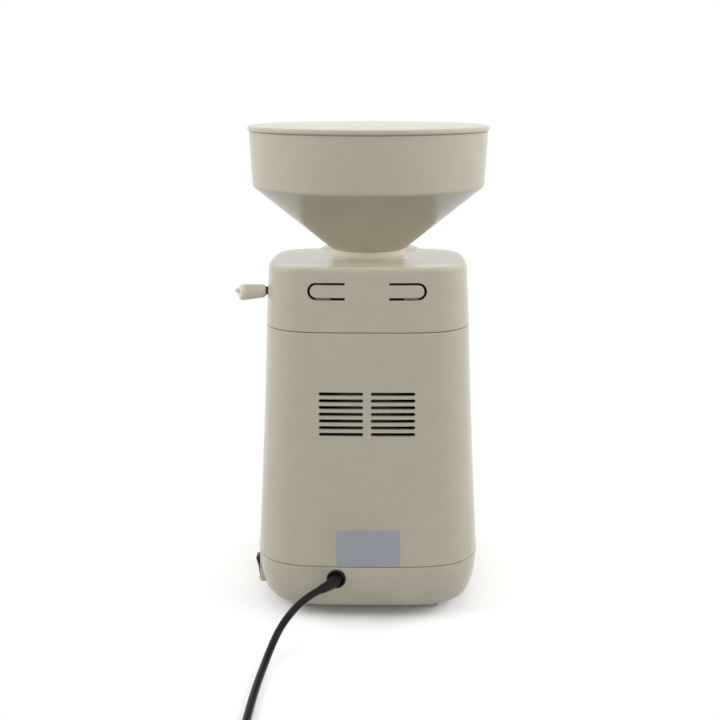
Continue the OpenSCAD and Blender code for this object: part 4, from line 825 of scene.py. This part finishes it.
def key_ring(y, inset):
    """Side view of the key, drawn in towards its middle and tipped about its pins, at y across it."""
    p = key_line - inset * key_line / np.maximum(np.linalg.norm(key_line, axis=1, keepdims=True), 1)
    x = PINS_X + p[:, 0] * math.cos(KEY_TIP) + p[:, 1] * math.sin(KEY_TIP)
    z = SWITCH_Z + p[:, 1] * math.cos(KEY_TIP) - p[:, 0] * math.sin(KEY_TIP)
    return np.column_stack([x, np.full(len(p), SWITCH_Y + y), z])


dress(solid("switch_key", capped([key_ring(*row) for row in KEY])), "rocker", BLACK, "black_plastic", "switch_rocker")

# Lever grip: tapered round grip with a soft end and a small nub above its middle
GRIP_FROM, GRIP_TO, NUB_FROM, NUB_TO, NUB_UP = 80.6, 100.2, 99.6, 102.6, 1.5
grip = revolve(fillets([(0, GRIP_FROM, 0), (3.7, GRIP_FROM, 0.4), (4.8, 81.9, 0.8), (5.9, 97.0, 2.2), (5.1, 99.6, 1.0),
                        (3.4, GRIP_TO, 0.8), (0, GRIP_TO, 0)], ARC_STEPS), 96, False)
nub = revolve(fillets([(0, NUB_FROM, 0), (1.8, NUB_FROM, 0), (1.35, NUB_TO, 0.6), (0, NUB_TO, 0)]), 40, False)
ALONG_X = np.array([[0, 0, -1], [0, 1, 0], [1, 0, 0]])
OUTWARDS = ALONG_X @ np.array([[math.cos(LEVER_REST), math.sin(LEVER_REST), 0],
                               [-math.sin(LEVER_REST), math.cos(LEVER_REST), 0], [0, 0, 1]])
grip_piece = solid("lever_grip", together(moved(grip, (0, 0, LEVER_Z), OUTWARDS),
                                          moved(nub, (0, 0, LEVER_Z + NUB_UP), OUTWARDS)))
dress(grip_piece, "lever", GRIP, "lever_beige", "lever_knob")

# Flour spout: arched hood with a dropping nose, hollow, trimmed to the cover and the housing. The hood starts at
# HOOD_Y and reaches HOOD_REACH to the front; the knots are shares of that, behind it where they are below 0
HOOD_Y, HOOD_REACH, HOOD_LOW, HOOD_WALL, NOSE_ROUND, ARCH_POWER = -75, 46, 200.0, 2.6, 1.5, 5
HOOD_KNOTS = [-0.9, -0.6, -0.3, 0, 0.3, 0.6, 0.85, 1]
HOOD_HALF = [52, 52, 51.5, 50, 46, 41.3, 36.5, 32]
HOOD_CROWN = [250.2, 251.6, 253.0, 253.7, 252.2, 247.6, 240.4, 230]


def arch(a, half, top, low):
    """Half superellipse of power ARCH_POWER over a level foot line."""
    rise = np.maximum(0, signed_power(np.sin(a), 2 / ARCH_POWER))
    return np.stack([half * signed_power(np.cos(a), 2 / ARCH_POWER), low + (top - low) * rise], -1)


ARCH_A = np.concatenate([even_angles(lambda a: arch(a, 44.0, 250.0, HOOD_LOW), 120, np.pi), [np.pi]])


def hood(off, low):
    """Arches from the cover's top to the nose: half-width and crown follow smooth curves, so that the hood swells out
    of the cover behind the neck and drops at the nose, whose edge is rounded."""
    s = np.concatenate([np.linspace(-0.9, -0.06, 15), np.linspace(0, 1, 22)])
    wide, crown = hermite(s, HOOD_KNOTS, HOOD_HALF) - off, hermite(s, HOOD_KNOTS, HOOD_CROWN) - off
    y = HOOD_Y - s * (HOOD_REACH - off - NOSE_ROUND)
    rows = list(zip(y, wide, crown))
    for b in QUARTER[1:]:
        draw = NOSE_ROUND * (1 - math.cos(b))
        rows.append((y[-1] - NOSE_ROUND * math.sin(b), wide[-1] - draw, crown[-1] - draw))
    made = []
    for at, half, top in rows:
        p = arch(ARCH_A, half, top, low)
        p = np.concatenate([p, np.linspace(p[-1], p[0], 26)[1:-1]])
        made.append(np.column_stack([p[:, 0], np.full(len(p), at), p[:, 1]]))
    return capped(made)


spout = solid("spout_hood", hood(0, HOOD_LOW))
cut(spout, hood(HOOD_WALL, HOOD_LOW - 5))
cut(spout, capped([r * [0.996, 0.996, 1] - [0, 0, 0.3] for r in COVER_SKIN]))
cut(spout, capped([r * [0.997, 0.997, 1] for r in HOUSING_SKIN]))
dress(spout, "mill", BEIGE, "moulded_beige", "flour_spout")

# Finishes of the pieces that keep their own shape
INNER = {"cord_clamp": PALE, "adjusting_ring": DARK, "stone_carrier": CAST, "upper_stone": STONE, "lower_stone": STONE,
         "runner_plate": CAST, "lever_stem": DARK, "grinding_chamber": BEIGE, "shaft_seal": FELT, "motor_deck": CAST,
         "deck_pads": RUBBER, "upper_end_shield": CAST, "lower_end_shield": CAST, "stator_core": CORE,
         "stator_windings": COPPER, "rotor_core": CORE, "cooling_fan": BLACK, "run_capacitor": CAST,
         "terminal_block": PALE, "inner_leads": RUBBER}
for name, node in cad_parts.items():
    if not node.hide_render:
        node.data.materials.clear()
        node.data.materials.append(INNER.get(name, STEEL))

# Light: strengths of the surroundings and of the floor as light, how white the floor shows, then the lamps in watts
SKY_LIGHT, FLOOR_LIGHT, FAR_LIGHT, FLOOR_WHITE = 0.16, 0.52, 0.4, 0.95
LEFT_W, RIGHT_W, FILL_W, FAR_W, TOP_W = 23.4, 24.6, 16.2, 8.0, 6.4


def seen_share(tree):
    """1 for rays that show or mirror the surroundings, 0 for rays that gather light."""
    rays = tree.nodes.new("ShaderNodeLightPath")
    share = rays.outputs["Is Camera Ray"]
    for kind in ("Is Glossy Ray", "Is Transmission Ray"):
        most = tree.nodes.new("ShaderNodeMath")
        most.operation = "MAXIMUM"
        tree.links.new(share, most.inputs[0])
        tree.links.new(rays.outputs[kind], most.inputs[1])
        share = most.outputs["Value"]
    return share


# Pale floor: takes shadow round the mill and round the coiled lead, and turns to plain white away from them. The
# fades list a middle, the radius at which it starts and the radius at which all is white, in metres
FLOOR_R, FLOOR_DROP = np.array([0.0, 0.4, 1.0, 6.0]), 0.0001
FADES = ((0, 0, 0), 0.09, 0.21), ((0.045, 0.3, 0), 0.06, 0.16)
a = np.linspace(0, 2 * np.pi, 97)[:-1]
floor_mesh = bpy.data.meshes.new("floor")
floor_circle = np.stack([np.cos(a), np.sin(a), 0 * a], -1)
floor_points, floor_faces = loft(FLOOR_R[:, None, None] * floor_circle - [0, 0, FLOOR_DROP])
floor_mesh.from_pydata(floor_points.tolist(), [], floor_faces.tolist())
smooth(floor_mesh)
floor = bpy.data.objects.new("floor", floor_mesh)
bpy.context.scene.collection.objects.link(floor)
f = Finish("pale_floor", 0.9)
f.shader.inputs["Specular IOR Level"].default_value = 0.1
shown = seen_share(f.tree)
f.colour(f.span(shown, 0, 1, FLOOR_LIGHT, FLOOR_WHITE))
white = f.add("ShaderNodeEmission")
f.link(f.span(shown, 0, 1, FAR_LIGHT, 1), white.inputs["Strength"])
fade = f.add("ShaderNodeMath", operation="MINIMUM")
for k, (middle, near, wide) in enumerate(FADES):
    gap = f.add("ShaderNodeVectorMath", operation="DISTANCE")
    f.link(f.where, gap.inputs[0])
    gap.inputs[1].default_value = middle
    f.link(f.span(gap.outputs["Value"], near, wide, 0, 1), fade.inputs[k])
blend = f.add("ShaderNodeMixShader")
f.link(fade.outputs["Value"], blend.inputs[0])
f.link(f.shader.outputs["BSDF"], blend.inputs[1])
f.link(white.outputs["Emission"], blend.inputs[2])
f.link(blend.outputs["Shader"], f.end.inputs["Surface"])
floor_mesh.materials.append(f.look)

# White surroundings: plain white where seen or mirrored, weaker as light
world = bpy.data.worlds.new("studio")
bpy.context.scene.world = world
world.use_nodes = True
nodes, links = world.node_tree.nodes, world.node_tree.links
nodes.clear()
level = nodes.new("ShaderNodeMapRange")
level.inputs["To Min"].default_value, level.inputs["To Max"].default_value = SKY_LIGHT, 1.0
links.new(seen_share(world.node_tree), level.inputs["Value"])
sky = nodes.new("ShaderNodeBackground")
sky.inputs["Color"].default_value = (1, 1, 1, 1)
links.new(level.outputs["Result"], sky.inputs["Strength"])
links.new(sky.outputs["Background"], nodes.new("ShaderNodeOutputWorld").inputs["Surface"])


def softbox(name, place, aim, width, height, power):
    """Rectangular lamp at a place in metres about the shaft, turned to face a point; only what it lights is seen."""
    data = bpy.data.lights.new(name, "AREA")
    data.shape, data.size, data.size_y, data.energy = "RECTANGLE", width, height, power
    lamp = bpy.data.objects.new(name, data)
    bpy.context.scene.collection.objects.link(lamp)
    back = np.array(place, float) - np.array(aim, float)
    back /= np.linalg.norm(back)
    side = np.cross([0, 1, 0] if abs(back[2]) > 0.9 else [0, 0, 1], back)
    side /= np.linalg.norm(side)
    pose = np.eye(4)
    pose[:3, 0], pose[:3, 1], pose[:3, 2] = side, np.cross(back, side), back
    pose[:3, 3] = np.array(place, float) + SHAFT
    lamp.matrix_world = Matrix(pose.tolist())
    lamp.visible_camera = lamp.visible_glossy = False


softbox("left_box", (1.35, 0.0, 0.95), (0, 0, 0.22), 1.8, 0.8, LEFT_W)
softbox("right_box", (-1.35, 0.0, 0.95), (0, 0, 0.22), 1.8, 0.8, RIGHT_W)
softbox("camera_box", (0.0, 2.0, 0.8), (0, 0, 0.2), 1.6, 1.2, FILL_W)
softbox("far_box", (0.0, -1.5, 0.85), (0, 0, 0.3), 1.6, 1.0, FAR_W)
softbox("top_box", (0.0, 0.0, 1.6), (0, 0, 0.3), 1.3, 1.3, TOP_W)

bpy.context.scene.view_settings.view_transform = "Standard"
